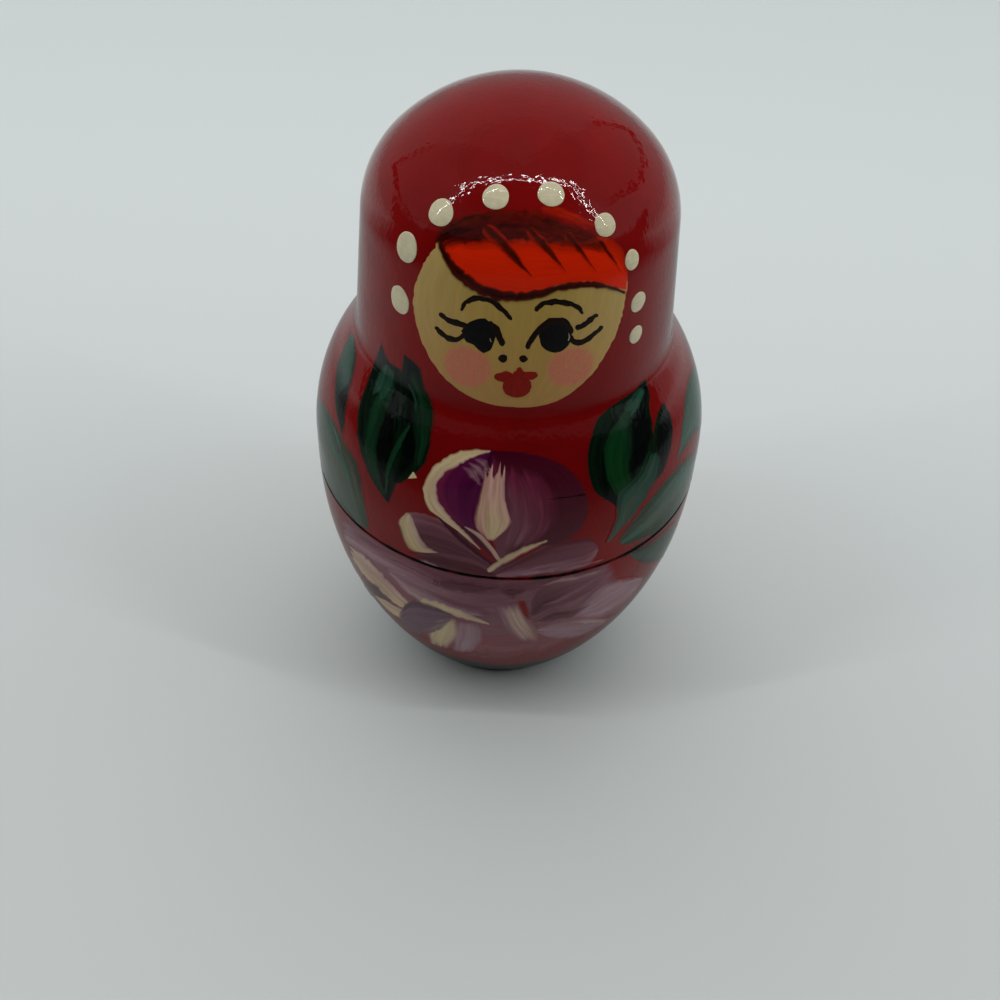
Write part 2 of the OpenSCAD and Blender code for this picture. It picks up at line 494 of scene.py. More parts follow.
def lay_over(strokes):
    """Lets what is under a stroke show where it covers thinly. A canvas over the picture, one cell a pixel,
    keeps the colour on top so far, and the doll's ground shows where it is empty; each stroke is mixed with
    that by its cover."""
    canvas = np.full((PICTURE, PICTURE, 3), np.nan)
    for s in sorted(strokes, key=lambda s: s["layer"]):
        column, row = np.rint(s["pixel"]).astype(int).clip(0, PICTURE - 1).transpose(2, 0, 1)
        places = on_surface(s["azimuth"], s["z"], 0, 0).reshape(-1, 3)
        ground = shell_paint(places, 0).reshape(s["rgb"].shape)
        under = np.where(np.isnan(canvas[row, column]), ground, canvas[row, column])
        s["rgb"] = under + (s["rgb"] - under) * s["cover"][..., None]
        fine = np.rint(finer(s["pixel"], CANVAS_FINE)).astype(int).clip(0, PICTURE - 1)
        column, row = fine.transpose(2, 0, 1)
        canvas[row, column] = finer(s["rgb"], CANVAS_FINE)


def dot(mid, across, high, seed):
    """Dome of thick paint from the end of a stick: an oval on the surface round the place where the sight
    line through a pixel meets it, as high as a flattened half ball."""
    azimuth, z = on_doll(np.array([mid], float))
    n = 21
    u, v = np.meshgrid(np.linspace(0, 1, n), np.linspace(0, 1, n), indexing="ij")
    u = u - 0.8 * np.sin(2 * np.pi * u) / (2 * np.pi)
    v = v - 0.8 * np.sin(2 * np.pi * v) / (2 * np.pi)
    down = 2 * u - 1
    half = np.maximum(np.sqrt(np.maximum(1 - down ** 2, 0)), 0.05)
    side = half * (2 * v - 1)
    wobble = 1 + 0.05 * mottle(1.5 * side + 9, 1.5 * down + 9, seed)
    x, y = side * across / 2 * wobble, -down * high / 2 * wobble
    slope = np.interp(z, OUT_Z, OUT_SLOPE)
    lift = LAYER * DOT_LAYER + DOT_DOME * np.sqrt(np.maximum(1 - (side ** 2 + down ** 2), 0))
    rgb = linear(DOT_WHITE) * (1 + 0.08 * mottle(3 * side, 3 * down, seed + 1))[..., None]
    return {"azimuth": azimuth + x / radius_at(z), "z": z + y / np.sqrt(1 + slope ** 2), "lift": lift,
            "rgb": rgb, "uv": np.stack([x, y], -1)}


# Meshes
def put_mesh(name, points, faces, flat, materials, kinds):
    """Mesh from points in millimetres and arrays of faces of equal length: flat says which faces are flat
    shaded, and kinds gives each face's material."""
    mesh = bpy.data.meshes.new(name)
    mesh.vertices.add(len(points))
    mesh.vertices.foreach_set("co", (points * MM).astype(np.float32).ravel())
    corners = np.concatenate([f.ravel() for f in faces])
    sizes = np.concatenate([np.full(len(f), f.shape[1]) for f in faces])
    mesh.loops.add(len(corners))
    mesh.loops.foreach_set("vertex_index", corners.astype(np.int32))
    mesh.polygons.add(len(sizes))
    mesh.polygons.foreach_set("loop_start", np.r_[0, np.cumsum(sizes)[:-1]].astype(np.int32))
    mesh.polygons.foreach_set("use_smooth", ~flat)
    for material in materials:
        mesh.materials.append(material)
    mesh.polygons.foreach_set("material_index", kinds.astype(np.int32))
    mesh.update(calc_edges=True)
    piece = bpy.data.objects.new(name, mesh)
    bpy.context.scene.collection.objects.link(piece)
    return piece


def put_paint(mesh, rgb):
    """The paint's colour at every point."""
    colour = mesh.color_attributes.new("paint", "FLOAT_COLOR", "POINT")
    colour.data.foreach_set("color", np.c_[rgb, np.ones(len(rgb))].astype(np.float32).ravel())


def film(name, strokes, k, material, body):
    """Thin closed sheets of paint on doll k: each has a top at its stroke's height, a bottom sunk in the
    wood and a skirt between them. The smaller dolls take every second row. A sheet is raised by the height
    of its arcs over its own straight steps, so that the round wood doesn't come through. The top keeps the
    normals of its own grid right up to its edge, so that the gloss runs on unbroken."""
    points, rgb, uv, normals, tops, others = [], [], [], [], [], []
    count = 0
    skip = 1 if k == 0 else 2
    for s in strokes:
        azimuth, z, lift, paint, place = (
            s[key][::skip, ::skip] for key in ("azimuth", "z", "lift", "rgb", "uv"))
        turn = np.maximum(np.abs(np.gradient(azimuth, axis=0)), np.abs(np.gradient(azimuth, axis=1)))
        climb = np.maximum(np.abs(np.gradient(z, axis=0)), np.abs(np.gradient(z, axis=1)))
        lift = lift + np.minimum(radius_at(z) * turn ** 2 / 8 + climb ** 2 / (8 * CHEEK_R), SINK)
        top = on_surface(azimuth, z, lift, k)
        out = on_surface(azimuth, z, lift + 1, k) - top
        across = np.cross(np.gradient(top, axis=0, edge_order=2), np.gradient(top, axis=1, edge_order=2))
        if (across * out).sum() < 0:
            azimuth, z, paint, place, top, across = (
                a[:, ::-1] for a in (azimuth, z, paint, place, top, -across))
        under = on_surface(azimuth, z, -SINK, k)
        n = azimuth.size
        i = np.arange(n).reshape(azimuth.shape)
        quads = np.stack([i[:-1, :-1], i[1:, :-1], i[1:, 1:], i[:-1, 1:]], -1).reshape(-1, 4)
        rim = np.concatenate([i[0, :-1], i[:-1, -1], i[-1, :0:-1], i[:0:-1, 0]])
        ahead = np.roll(rim, -1)
        skirt = np.stack([rim, ahead, ahead + n, rim + n], -1)
        tops.append(quads + count)
        others.append(np.concatenate([quads[:, ::-1] + n, skirt]) + count)
        points += [top.reshape(-1, 3), under.reshape(-1, 3)]
        rgb += [paint.reshape(-1, 3)] * 2
        uv += [place.reshape(-1, 2)] * 2
        length = np.maximum(np.linalg.norm(across, axis=-1, keepdims=True), 1e-12)
        normals += [(across / length).reshape(-1, 3), np.zeros((n, 3))]
        count += 2 * n
    tops, others = np.concatenate(tops), np.concatenate(others)
    flat = np.r_[np.zeros(len(tops), bool), np.ones(len(others), bool)]
    piece = put_mesh(name, np.concatenate(points), [tops, others], flat, [material], np.zeros(len(flat)))
    put_paint(piece.data, np.concatenate(rgb))
    if "blush" in strokes[0]:
        blush = strokes[0]["blush"][::skip, ::skip].ravel()
        layer = piece.data.attributes.new("blush", "FLOAT", "POINT")
        layer.data.foreach_set("value", np.tile(blush, 2).astype(np.float32))
    corners = np.concatenate([tops, others]).ravel()
    layer = piece.data.uv_layers.new(name="brush")
    layer.uv.foreach_set("vector", np.concatenate(uv)[corners].astype(np.float32).ravel())
    wanted = np.concatenate(normals)[corners]
    wanted[tops.size:] = 0
    piece.data.normals_split_custom_set(wanted.tolist())
    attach(piece, body)


# Turned pieces
ROUND = 192
SHARP_ANGLE = np.radians(32)
# Kinds of faces: painted outside, bare inside, and the seam's edges, dull and darkened as painted shade with
# some wear
OUTSIDE, INSIDE, WORN_AND_SHADED = 0, 1, 2


def straight(start, end, step):
    """Points from start up to, but not at, end."""
    n = max(int(np.ceil(np.hypot(end[0] - start[0], end[1] - start[1]) / step)), 1)
    share = np.linspace(0, 1, n, endpoint=False)[:, None]
    return np.array(start) + (np.array(end) - np.array(start)) * share


def outline_between(low, high, size, base, step=4):
    """Stretch of the outline between two heights of a doll of this size whose base is at a height."""
    inner = (OUT_Z * size > low + 0.02) & (OUT_Z * size < high - 0.02)
    z = np.r_[low, OUT_Z[inner][::step] * size, high]
    return np.stack([radius_at(z / size) * size, z + base], 1)


def turned(name, runs, k, materials):
    """Solid of revolution: runs are stretches of a profile from one pole on the axis to the other, each
    with the material of its faces, turned round the axis as rings of points with a fan at each pole."""
    profile = np.concatenate([run for run, _ in runs])
    kinds = np.concatenate([np.full(len(run), kind) for run, kind in runs])[:-1]
    azimuth = np.linspace(0, 2 * np.pi, ROUND, endpoint=False)
    r, z = profile[1:-1, 0:1], profile[1:-1, 1:2]
    rings = np.stack([r * np.sin(azimuth), -r * np.cos(azimuth), z + 0 * azimuth], -1)
    poles = np.array([[0, 0, profile[0, 1]], [0, 0, profile[-1, 1]]])
    points = np.concatenate([rings.reshape(-1, 3), poles])
    i = np.arange(rings.shape[0] * ROUND).reshape(-1, ROUND)
    j = np.roll(i, -1, axis=1)
    quads = np.stack([i[:-1], j[:-1], j[1:], i[1:]], -1).reshape(-1, 4)
    first, last = np.full(ROUND, i.size), np.full(ROUND, i.size + 1)
    fans = np.concatenate([np.stack([first, j[0], i[0]], 1), np.stack([last, i[-1], j[-1]], 1)])
    faces_kinds = np.concatenate(
        [np.repeat(kinds[1:-1], ROUND), np.full(ROUND, kinds[0]), np.full(ROUND, kinds[-1])])
    piece = put_mesh(name, points, [quads, fans], np.zeros(len(faces_kinds), bool), materials, faces_kinds)
    piece.data.set_sharp_from_angle(angle=SHARP_ANGLE)
    put_paint(piece.data, shell_paint(points, k))
    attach(piece, name.replace("_wood", ""))
    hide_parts(name.replace("_wood", ""))


def shell_paint(points, k):
    """Ground colour of a doll: red, a little deeper in soft patches, darker on the chest as painted shade,
    near black on the two edges of the seam as painted shade of its gap with some wear, and dark green on the
    lowest edge."""
    azimuth = np.arctan2(points[:, 0], -points[:, 1])
    high = (points[:, 2] - DOLL_BASE[k]) / DOLL_SIZE[k]
    across, back = points[:, 0] / DOLL_SIZE[k], points[:, 1] / DOLL_SIZE[k]
    deep = smooth(0.5 + 0.9 * mottle(across / 8 + high / 19, back / 8 - high / 11, 11))
    # Painted shade: the red darkens towards the middle of the chest, below the chin
    chest = smooth(1 - ((high - CHEST_Z) / CHEST_HIGH) ** 2) * smooth(1 - (azimuth / CHEST_TURN) ** 2)
    rgb = linear(RED) + (linear(RED_DARK) - linear(RED)) * (RED_PATCHES * deep + CHEST_SHADE * chest)[:, None]
    # Painted shade with some wear: near black on both edges of the seam, in the gap between the halves
    seam_shade_and_wear = SEAM_SHADE_AND_WEAR + 0.14 * mottle(azimuth * 30, high * 0, 15) + 0.1 * mottle(azimuth * 9, high * 0, 16)
    seam_shade_and_wear = smooth((seam_shade_and_wear - np.abs(high - SEAM_Z)) / SEAM_FADE)
    rgb = rgb + (linear(SEAM_BROWN) - rgb) * seam_shade_and_wear[:, None]
    foot = smooth((FOOT_BAND + 0.5 * mottle(azimuth * 9, high * 0, 13) - high) / FOOT_FADE)
    return rgb + (linear(BASE_GREEN) - rgb) * foot[:, None]


def foot(k):
    """Base of doll k from the axis to its rounded edge."""
    size, base = DOLL_SIZE[k], DOLL_BASE[k]
    r = radius_at(FOOT_ROUND) * size
    corner = np.linspace(-np.pi / 2, 0, 6)[:-1]
    bend = FOOT_ROUND * size
    flat = straight((0, base), (r - bend, base), 1.5)
    edge = np.stack([r - bend + bend * np.cos(corner), base + bend + bend * np.sin(corner)], 1)
    return [(flat, INSIDE), (edge, OUTSIDE)]


def make_halves(k, materials):
    """Lower and upper half of hollow doll k. The lower one runs from the base up the bowl to the seam, up
    the lip and down the hollow to the floor; the upper one down the hollow to the socket, round the rim and
    up to the crown."""
    doll = DOLLS[k]
    size, base = DOLL_SIZE[k], DOLL_BASE[k]
    seam = DOLL_SEAM[k]
    floor = DOLL_BASE[k + 1]
    hollow_r = DOLL_R[k + 1] + NEST_GAP
    hollow = hollow_r / BELLY_R
    lip_r = hollow_r + LIP_WALLS[k]
    rim_r = radius_at(seam / size - base / size) * size
    mouth = BELLY_Z * hollow
    cavity = outline_between(0, mouth, hollow, floor)[::-1]
    seam_edge = np.array([(rim_r - SEAM_EDGE, seam), (rim_r - SEAM_EDGE / 2, seam - SEAM_EDGE / 2)])
    lip = np.array([
        (lip_r + LIP_BREAK / 2, seam), (lip_r, seam + LIP_BREAK / 2),
        (lip_r, (seam + LIP_TOP[k]) / 2), (lip_r, LIP_TOP[k] - LIP_BREAK), (lip_r - LIP_BREAK, LIP_TOP[k]),
        (hollow_r + LIP_BREAK, LIP_TOP[k]), (hollow_r, LIP_TOP[k] - LIP_BREAK)])
    bowl = outline_between(FOOT_ROUND * size, seam - base - SEAM_EDGE, size, base)
    bottom = foot(k) + [
        (bowl[:-1], OUTSIDE), (np.r_[bowl[-1:], seam_edge[::-1]], WORN_AND_SHADED), (lip, INSIDE),
        (cavity, INSIDE), (np.array([[0, floor]]), INSIDE)]
    turned(f"{doll}_bottom_wood", bottom, k, materials)
    socket_r = lip_r + FIT_GAP
    socket_top = LIP_TOP[k] + LIP_END_GAP
    shoulder = max((BELLY_Z + BAND_H) * hollow + floor, socket_top + 0.3)
    ceiling = outline_between(shoulder - floor, DOLL_H * hollow, hollow, floor)[::-1]
    ceiling[0, 0] = 0
    rim = np.array([
        (hollow_r, socket_top), (socket_r, socket_top), (socket_r, (seam + socket_top) / 2),
        (socket_r, seam + LIP_BREAK / 2), (socket_r + LIP_BREAK / 2, seam)])
    seam_edge[:, 1] = 2 * seam - seam_edge[:, 1]
    wall = outline_between(seam - base + SEAM_EDGE, DOLL_H * size, size, base)
    wall[-1, 0] = 0
    top = [(ceiling, INSIDE), (rim, INSIDE), (seam_edge, WORN_AND_SHADED), (wall, OUTSIDE)]
    turned(f"{doll}_top_wood", top, k, materials)


def make_smallest(materials):
    """The solid doll in the middle."""
    k = len(DOLLS) - 1
    size, base = DOLL_SIZE[k], DOLL_BASE[k]
    wall = outline_between(FOOT_ROUND * size, DOLL_H * size, size, base)
    wall[-1, 0] = 0
    turned("smallest_doll_wood", foot(k) + [(wall, OUTSIDE)], k, materials)


# Materials
def node(tree, kind, inputs=(), **settings):
    """Adds a node. Settings are its own properties. Inputs, by name or by place, are values, or the sockets
    that feed it, or other nodes, whose first live output does. Mix has many inputs of one name, so that its
    own go by place: 0 is the share, 2 and 3 are its numbers, and 6 and 7 its colours."""
    made = tree.nodes.new("ShaderNode" + kind)
    for name, value in settings.items():
        setattr(made, name, value)
    pairs = inputs.items() if isinstance(inputs, dict) else enumerate(inputs)
    for name, value in pairs:
        if isinstance(value, bpy.types.Node):
            value = next(socket for socket in value.outputs if socket.enabled)
        if isinstance(value, bpy.types.NodeSocket):
            tree.links.new(value, made.inputs[name])
        else:
            made.inputs[name].default_value = value
    return made


def per_mm(size):
    """Noise scale, per metre, whose patches are about this many millimetres wide."""
    return 1 / (size * MM)


def rgba(colour):
    """Linear colour with its alpha, as a socket takes it."""
    return (*linear(colour), 1)


def start_material(name):
    """Empty material, its nodes, and Object coordinates."""
    material = bpy.data.materials.new(name)
    material.use_nodes = True
    tree = material.node_tree
    tree.nodes.clear()
    return material, tree, node(tree, "TexCoord").outputs["Object"]


def lacquer_bump(tree, place):
    """Normal of brushed lacquer: slow waves where it flowed, and a fine ripple that the wood's grain
    left."""
    waves = node(tree, "TexNoise", {"Vector": place, "Scale": per_mm(FLOW_WAVE), "Detail": 1.0})
    slow = node(tree, "Bump", {"Height": waves, "Strength": 1.0, "Distance": FLOW_DEPTH * MM})
    grain = node(tree, "Mapping", {"Vector": place, "Scale": (1.0, 1.0, 0.4)})
    ripple = node(tree, "TexNoise", {"Vector": grain, "Scale": per_mm(GRAIN_RIPPLE), "Detail": 0.6})
    return node(tree, "Bump", {
        "Height": ripple, "Strength": 1.0, "Distance": RIPPLE_DEPTH * MM, "Normal": slow})


def gouache_under_lacquer(name, brushed):
    """Matt gouache under brushed spirit lacquer: the paint's own colour with fine bristle streaks along the
    stroke, or soft patches on the ground coat, and the lacquer's wet gloss over it."""
    material, tree, place = start_material(name)
    paint = node(tree, "Attribute", attribute_name="paint")
    if brushed:
        strokes = node(tree, "UVMap", uv_map="brush")
        combed = node(tree, "Mapping", {"Vector": strokes, "Scale": (1 / STREAK_LONG, 1 / STREAK_WIDE, 1)})
        pattern = node(tree, "TexNoise", {"Vector": combed, "Scale": 1.0, "Detail": 3.0})
    else:
        pattern = node(tree, "TexNoise", {"Vector": place, "Scale": per_mm(3), "Detail": 4.0})
    depth = node(tree, "MapRange", [pattern, 0.25, 0.75, 0.92, 1.08])
    tint = node(tree, "Mix", {0: 1.0, 6: paint, 7: depth}, data_type="RGBA", blend_type="MULTIPLY")
    gloss = node(tree, "TexNoise", {"Vector": place, "Scale": per_mm(4), "Detail": 3.0})
    rough = node(tree, "MapRange", [gloss, 0.0, 1.0, 0.02, 0.07])
    shader = node(tree, "BsdfPrincipled", {
        "Base Color": tint, "Roughness": rough, "Normal": lacquer_bump(tree, place), "IOR": LACQUER_IOR})
    node(tree, "OutputMaterial", {"Surface": shader})
    return material


def worn_and_shaded_paint(name):
    """Paint rubbed dull on the two edges of a seam, where the halves are twisted apart, and darkened there as
    painted shade of the gap with some wear.
    """
    material, tree, place = start_material(name)
    paint = node(tree, "Attribute", attribute_name="paint")
    rubbed = node(tree, "TexNoise", {"Vector": place, "Scale": per_mm(0.6), "Detail": 3.0})
    tint = node(tree, "Mix", {0: 1.0, 6: paint, 7: rubbed}, data_type="RGBA", blend_type="MULTIPLY")
    shader = node(tree, "BsdfPrincipled", {"Base Color": tint, "Roughness": 0.75, "Specular IOR Level": 0.2})
    node(tree, "OutputMaterial", {"Surface": shader})
    return material


def bare_limewood(name, lacquered):
    """Limewood turned along its grain: pale, with fine vessel lines that run up the doll and faint broad
    bands. The face keeps its blush in an attribute, dabbed on in specks, and is lacquered; the inside is
    dry and dull."""
    material, tree, place = start_material(name)
    stretched = node(tree, "Mapping", {"Vector": place, "Scale": (1, 1, GRAIN_STRETCH)})
    fine = node(tree, "TexNoise", {"Vector": stretched, "Scale": per_mm(VESSEL), "Detail": 3.0})
    broad = node(tree, "TexNoise", {"Vector": stretched, "Scale": per_mm(GRAIN_BAND), "Detail": 2.0})
    grain = node(tree, "Math", [fine, broad], operation="ADD")
    swing = 0.03 if lacquered else 0.14
    depth = node(tree, "MapRange", [grain, 0.7, 1.3, 1 - swing, 1 + swing])
    if lacquered:
        wood = node(tree, "Attribute", attribute_name="paint")
        blush = node(tree, "Attribute", attribute_name="blush").outputs["Fac"]
        specks = node(tree, "TexNoise", {"Vector": place, "Scale": per_mm(SPECK), "Detail": 3.0})
        strength = node(tree, "Math", [specks, 2.4, -0.45], operation="MULTIPLY_ADD")
        dabbed = node(tree, "Math", [blush, strength], operation="MULTIPLY")
        ground = node(tree, "Mix", {0: dabbed, 6: wood, 7: rgba(BLUSH)}, data_type="RGBA", clamp_factor=True)
        surface = {"Roughness": 0.1, "Normal": lacquer_bump(tree, place)}
    else:
        ground = rgba(LIMEWOOD)
        cut = node(tree, "Bump", {"Height": fine, "Strength": 0.6, "Distance": 0.02 * MM})
        surface = {"Roughness": 0.62, "Normal": cut}
    tint = node(tree, "Mix", {0: 1.0, 6: ground, 7: depth}, data_type="RGBA", blend_type="MULTIPLY")
    shader = node(tree, "BsdfPrincipled", {"Base Color": tint, "IOR": LACQUER_IOR, **surface})
    node(tree, "OutputMaterial", {"Surface": shader})
    return material


def matt_board(name):
    """Pale matt board that the doll stands on: even, and paler towards the back as painted light falling off
    to the front. In the lacquer it is mirrored darker towards the front and far out to the sides, as painted
    shade."""
    material, tree, place = start_material(name)
    parts = node(tree, "SeparateXYZ", [place]).outputs
    # Painted light: the board is paler towards the back and darker towards the front
    share = node(tree, "MapRange", [parts["Y"], FLOOR_FRONT * MM, FLOOR_BACK * MM], **SOFT_EDGE)
    tint = node(tree, "Mix", {0: share, 6: rgba(BOARD_FRONT), 7: rgba(BOARD_BACK)}, data_type="RGBA")
    # Painted shade in the reflection: for glossy rays only, the board is darkened towards the front and far
    # out to the sides
    near = node(tree, "MapRange", [parts["Y"], MIRROR_DARK_FRONT * MM, FLOOR_NEAR * MM, MIRROR_FRONT_SHARE, MIRROR_NEAR])
    aside = node(tree, "Math", [parts["X"]], operation="ABSOLUTE")
    beside = node(tree, "MapRange", [aside, FLOOR_SIDE * MM, 2 * FLOOR_SIDE * MM, 1.0, MIRROR_SIDE])
    behind = node(tree, "MapRange", [parts["Y"], FLOOR_NEAR * MM, FLOOR_BACK * MM])
    front = node(tree, "Math", [near, beside], operation="MULTIPLY")
    mirrored_shade = node(tree, "Math", [front, behind], operation="MAXIMUM")
    mirrored = node(tree, "LightPath").outputs["Is Glossy Ray"]
    shade = node(tree, "Mix", {0: mirrored, 2: 1.0, 3: mirrored_shade}, data_type="FLOAT")
    shaded = node(tree, "Mix", {0: 1.0, 6: tint, 7: shade}, data_type="RGBA", blend_type="MULTIPLY")
    shader = node(tree, "BsdfPrincipled", {"Base Color": shaded, "Roughness": 0.9, "Specular IOR Level": 0.2})
    node(tree, "OutputMaterial", {"Surface": shader})
    return material


# The painting
CHEEKS = [((467, 367), 5.0, 4.7), ((571, 367), 5.0, 4.6)]


def face_disc():
    """The bare face below the fringe: wood, yellower down the middle under old lacquer, and on each cheek
    an amount of blush that fades outwards."""
    left = [(439, 243), (427, 258), (418, 276), (413.5, 300), (417, 325), (429, 356), (450, 383),
            (473, 398), (500, 406), (515, 407)]
    right = [(627, 272), (627, 284), (625.5, 296), (622, 315), (614, 338), (600, 363), (582, 384),
             (558, 400.5), (532, 407), (517, 407.5)]
    disc = stroke(petal(left, right), 0, [FACE_WOOD, FACE_YELLOW, FACE_YELLOW, FACE_WOOD], tail=[FACE_TAN],
                  comb=0.05, ragged=0.1, streak=0.05, bead=0, seed=21)
    azimuth, z = disc["azimuth"], disc["z"]
    disc["blush"] = 0 * z
    for mid, across, high in CHEEKS:
        cheek_azimuth, cheek_z = on_doll(np.array([mid], float))
        x, y = (azimuth - cheek_azimuth) * radius_at(z) / (across / 2), (z - cheek_z) / (high / 2)
        disc["blush"] = np.maximum(disc["blush"], smooth((1.1 - np.hypot(x, y)) / 0.22))
    return [disc]


def face_lines():
    """Brows, eyes, lids, lashes, nose and mouth."""
    brow_left = [(461, 311), (466, 302), (477, 298), (490, 300), (502, 309), (512, 320)]
    brow_right = [(535, 311), (542, 304), (554, 302), (567, 303), (578, 307), (583, 314)]
    eye_left_a = [(461, 331), (467, 324), (476, 319.5), (486, 319), (493, 325), (497, 334)]
    eye_left_b = [(462, 332), (466, 341), (474, 345), (481, 352), (488, 352), (496, 336)]
    eye_right = (555, 336)
    lid_left = [(488, 322), (495, 328), (500, 338), (503, 346)]
    lid_right = [(527, 349), (532, 338), (541, 328), (552, 321), (564, 322), (572, 334)]
    lashes = [
        [(468, 326), (457, 323), (447, 319), (439, 313)],
        [(466, 334), (455, 340), (444, 335), (435, 326.5)],
        [(575, 328), (586, 324), (592, 318), (598, 314)],
        [(568, 333), (575, 342), (583, 341.5), (594, 334), (603, 326)],
    ]
    nostrils = [((503, 358.5), 0.9), ((523.5, 358.8), 0.8)]
    lips = [
        ([(494, 376), (503, 377), (514, 378)], [0.6, 1.25, 1.35]),
        ([(512, 378), (525, 376), (538, 375)], [1.35, 1.2, 0.55]),
        ([(505, 371), (506, 374), (507, 378)], [0.5, 0.8, 1.0]),
        ([(520, 367), (520, 371), (520, 377)], [0.55, 0.8, 1.1]),
    ]
    mouth = (517, 386.5)
    glints = [[(490, 338), (491.5, 342)], [(568.5, 333), (569.5, 337), (568, 341)]]
    made = [stroke(line(brow, [0.4, 0.62, 0.58, 0.4]), 2, [INK], ragged=0.12, seed=31 + i)
            for i, brow in enumerate([brow_left, brow_right])]
    made.append(stroke(petal(eye_left_a, eye_left_b), 2, [EYE_BLACK], ragged=0.1, seed=34))
    made.append(stroke(oval(eye_right, 3.5, 3.6), 2, [EYE_BLACK], ragged=0.08, seed=35))
    made += [stroke(line(lid, [0.55, 0.75, 0.65]), 3, [INK], ragged=0.1, seed=36 + i)
             for i, lid in enumerate([lid_left, lid_right])]
    made += [stroke(line(lash, [0.5, 0.6, 0.55, 0.4]), 3, [INK], ragged=0.1, seed=40 + i)
             for i, lash in enumerate(lashes)]
    made += [stroke(oval(mid, size, size), 2, [INK], ragged=0.12, seed=45 + i)
             for i, (mid, size) in enumerate(nostrils)]
    made += [stroke(line(spine, widths), 2 + i, [LIP_RED], ragged=0.16, seed=47 + i)
             for i, (spine, widths) in enumerate(lips)]
    made.append(stroke(oval(mouth, 3.15, 2.35), 6, [LIP_RED], ragged=0.14, seed=52))
    made += [stroke(line(glint, [0.12, 0.16, 0.1]), 5, [LEAF_PALE, CREAM], seed=51) for glint in glints]
    return made


def hair_strokes():
    """Fringe swept to the right: a smoky band along the kerchief's edge, the orange lock, its dark outline
    and the dashes that run down from the band."""
    band_top = [(432, 238), (440, 224), (456, 214), (480, 208), (512, 206), (540, 209), (566, 219),
                (590, 226), (608, 246)]
    band_low = [(440, 252), (452, 250), (470, 246), (490, 245), (515, 246), (540, 248), (565, 250),
                (588, 252), (606, 256)]
    lock_top = [(444, 239), (458, 240), (474, 241), (497, 236), (515, 235), (538, 236), (560, 239),
                (580, 242), (604, 236), (619, 244), (627, 262), (628, 276)]
    lock_low = [(442, 247), (450, 261), (461, 275), (483, 287), (500, 293.5), (519, 296), (538, 292.5),
                (560, 286), (583, 283), (607, 286), (620, 290), (627, 291)]
    outline = [(439, 241), (446, 257), (457, 271.5), (471, 283.5), (488, 292), (512, 297), (536, 294.5),
               (560, 287.5), (584, 284.5), (608, 287), (626, 293)]
    glow = [(540, 209), (556, 212), (575, 218), (596, 226)]
    dashes = [
        ([(484, 226), (499, 240), (515, 257), (532, 277)], [1.6, 1.5, 1.05, 0.25]),
        ([(527, 228), (541, 242), (553, 256), (566, 272)], [1.4, 1.2, 0.8, 0.2]),
        ([(566, 233), (577, 246), (587, 260), (597, 273)], [1.3, 0.9, 0.6, 0.15]),
        ([(598, 240), (607, 250), (615, 262), (622, 273)], [0.9, 0.7, 0.45, 0.15]),
    ]
    smoky = [HAIR_SHADE, HAIR_BROWN, HAIR_BROWN, HAIR_SHADE]
    made = [
        stroke(petal(lock_top, lock_low), 1, [HAIR_SHADE, HAIR_ORANGE, HAIR_ORANGE, HAIR_ORANGE], comb=0.06,
               streak=0.04, soft=0.2, seed=52),
        stroke(line(glow, [0.8, 1.5, 1.4, 0.6]), 2, [HAIR_SHADE], streak=0.1, grainy=0.25, ragged=0.12,
               soft=0.4, thin=0.3, seed=53),
        stroke(petal(band_top, band_low), 3, [RED_DARK, HAIR_BROWN, SMOKE, SMOKE, SMOKE, HAIR_BROWN],
               tail=[HAIR_SHADE, HAIR_BROWN, HAIR_BROWN, HAIR_BROWN, HAIR_SHADE], comb=0.06, streak=0.06,
               grainy=0.5, ragged=0.2, soft=0.75, thin=0.25, seed=51),
        stroke(line(outline, [0.8, 1.35, 1.45, 1.45, 1.3, 1.1, 1.0, 0.9, 0.5]), 4,
               [HAIR_BROWN, HAIR_BROWN, SMOKE, HAIR_BROWN, HAIR_BROWN], comb=0.15, streak=0.1, grainy=0.35,
               ragged=0.14, soft=0.25, seed=54),
    ]
    made += [stroke(line(spine, widths), 4 + i % 2, smoky, ragged=0.1, streak=0.1, grainy=0.4, soft=0.3,
                    seed=55 + i) for i, (spine, widths) in enumerate(dashes)]
    return made


def dots():
    """Row of dots round the kerchief's edge."""
    places = [
        ((441, 213), 2.6, 2.6), ((496, 197), 2.5, 2.4), ((551, 194.5), 2.5, 2.35), ((605, 225), 2.25, 2.2),
        ((406.5, 247.5), 2.6, 3.0), ((400, 300), 2.6, 3.0), ((632, 260), 1.8, 2.1), ((638, 302), 2.1, 2.2),
        ((635.5, 334.5), 1.9, 2.0),
    ]
    return [dot(mid, across, high, 60 + i) for i, (mid, across, high) in enumerate(places)]


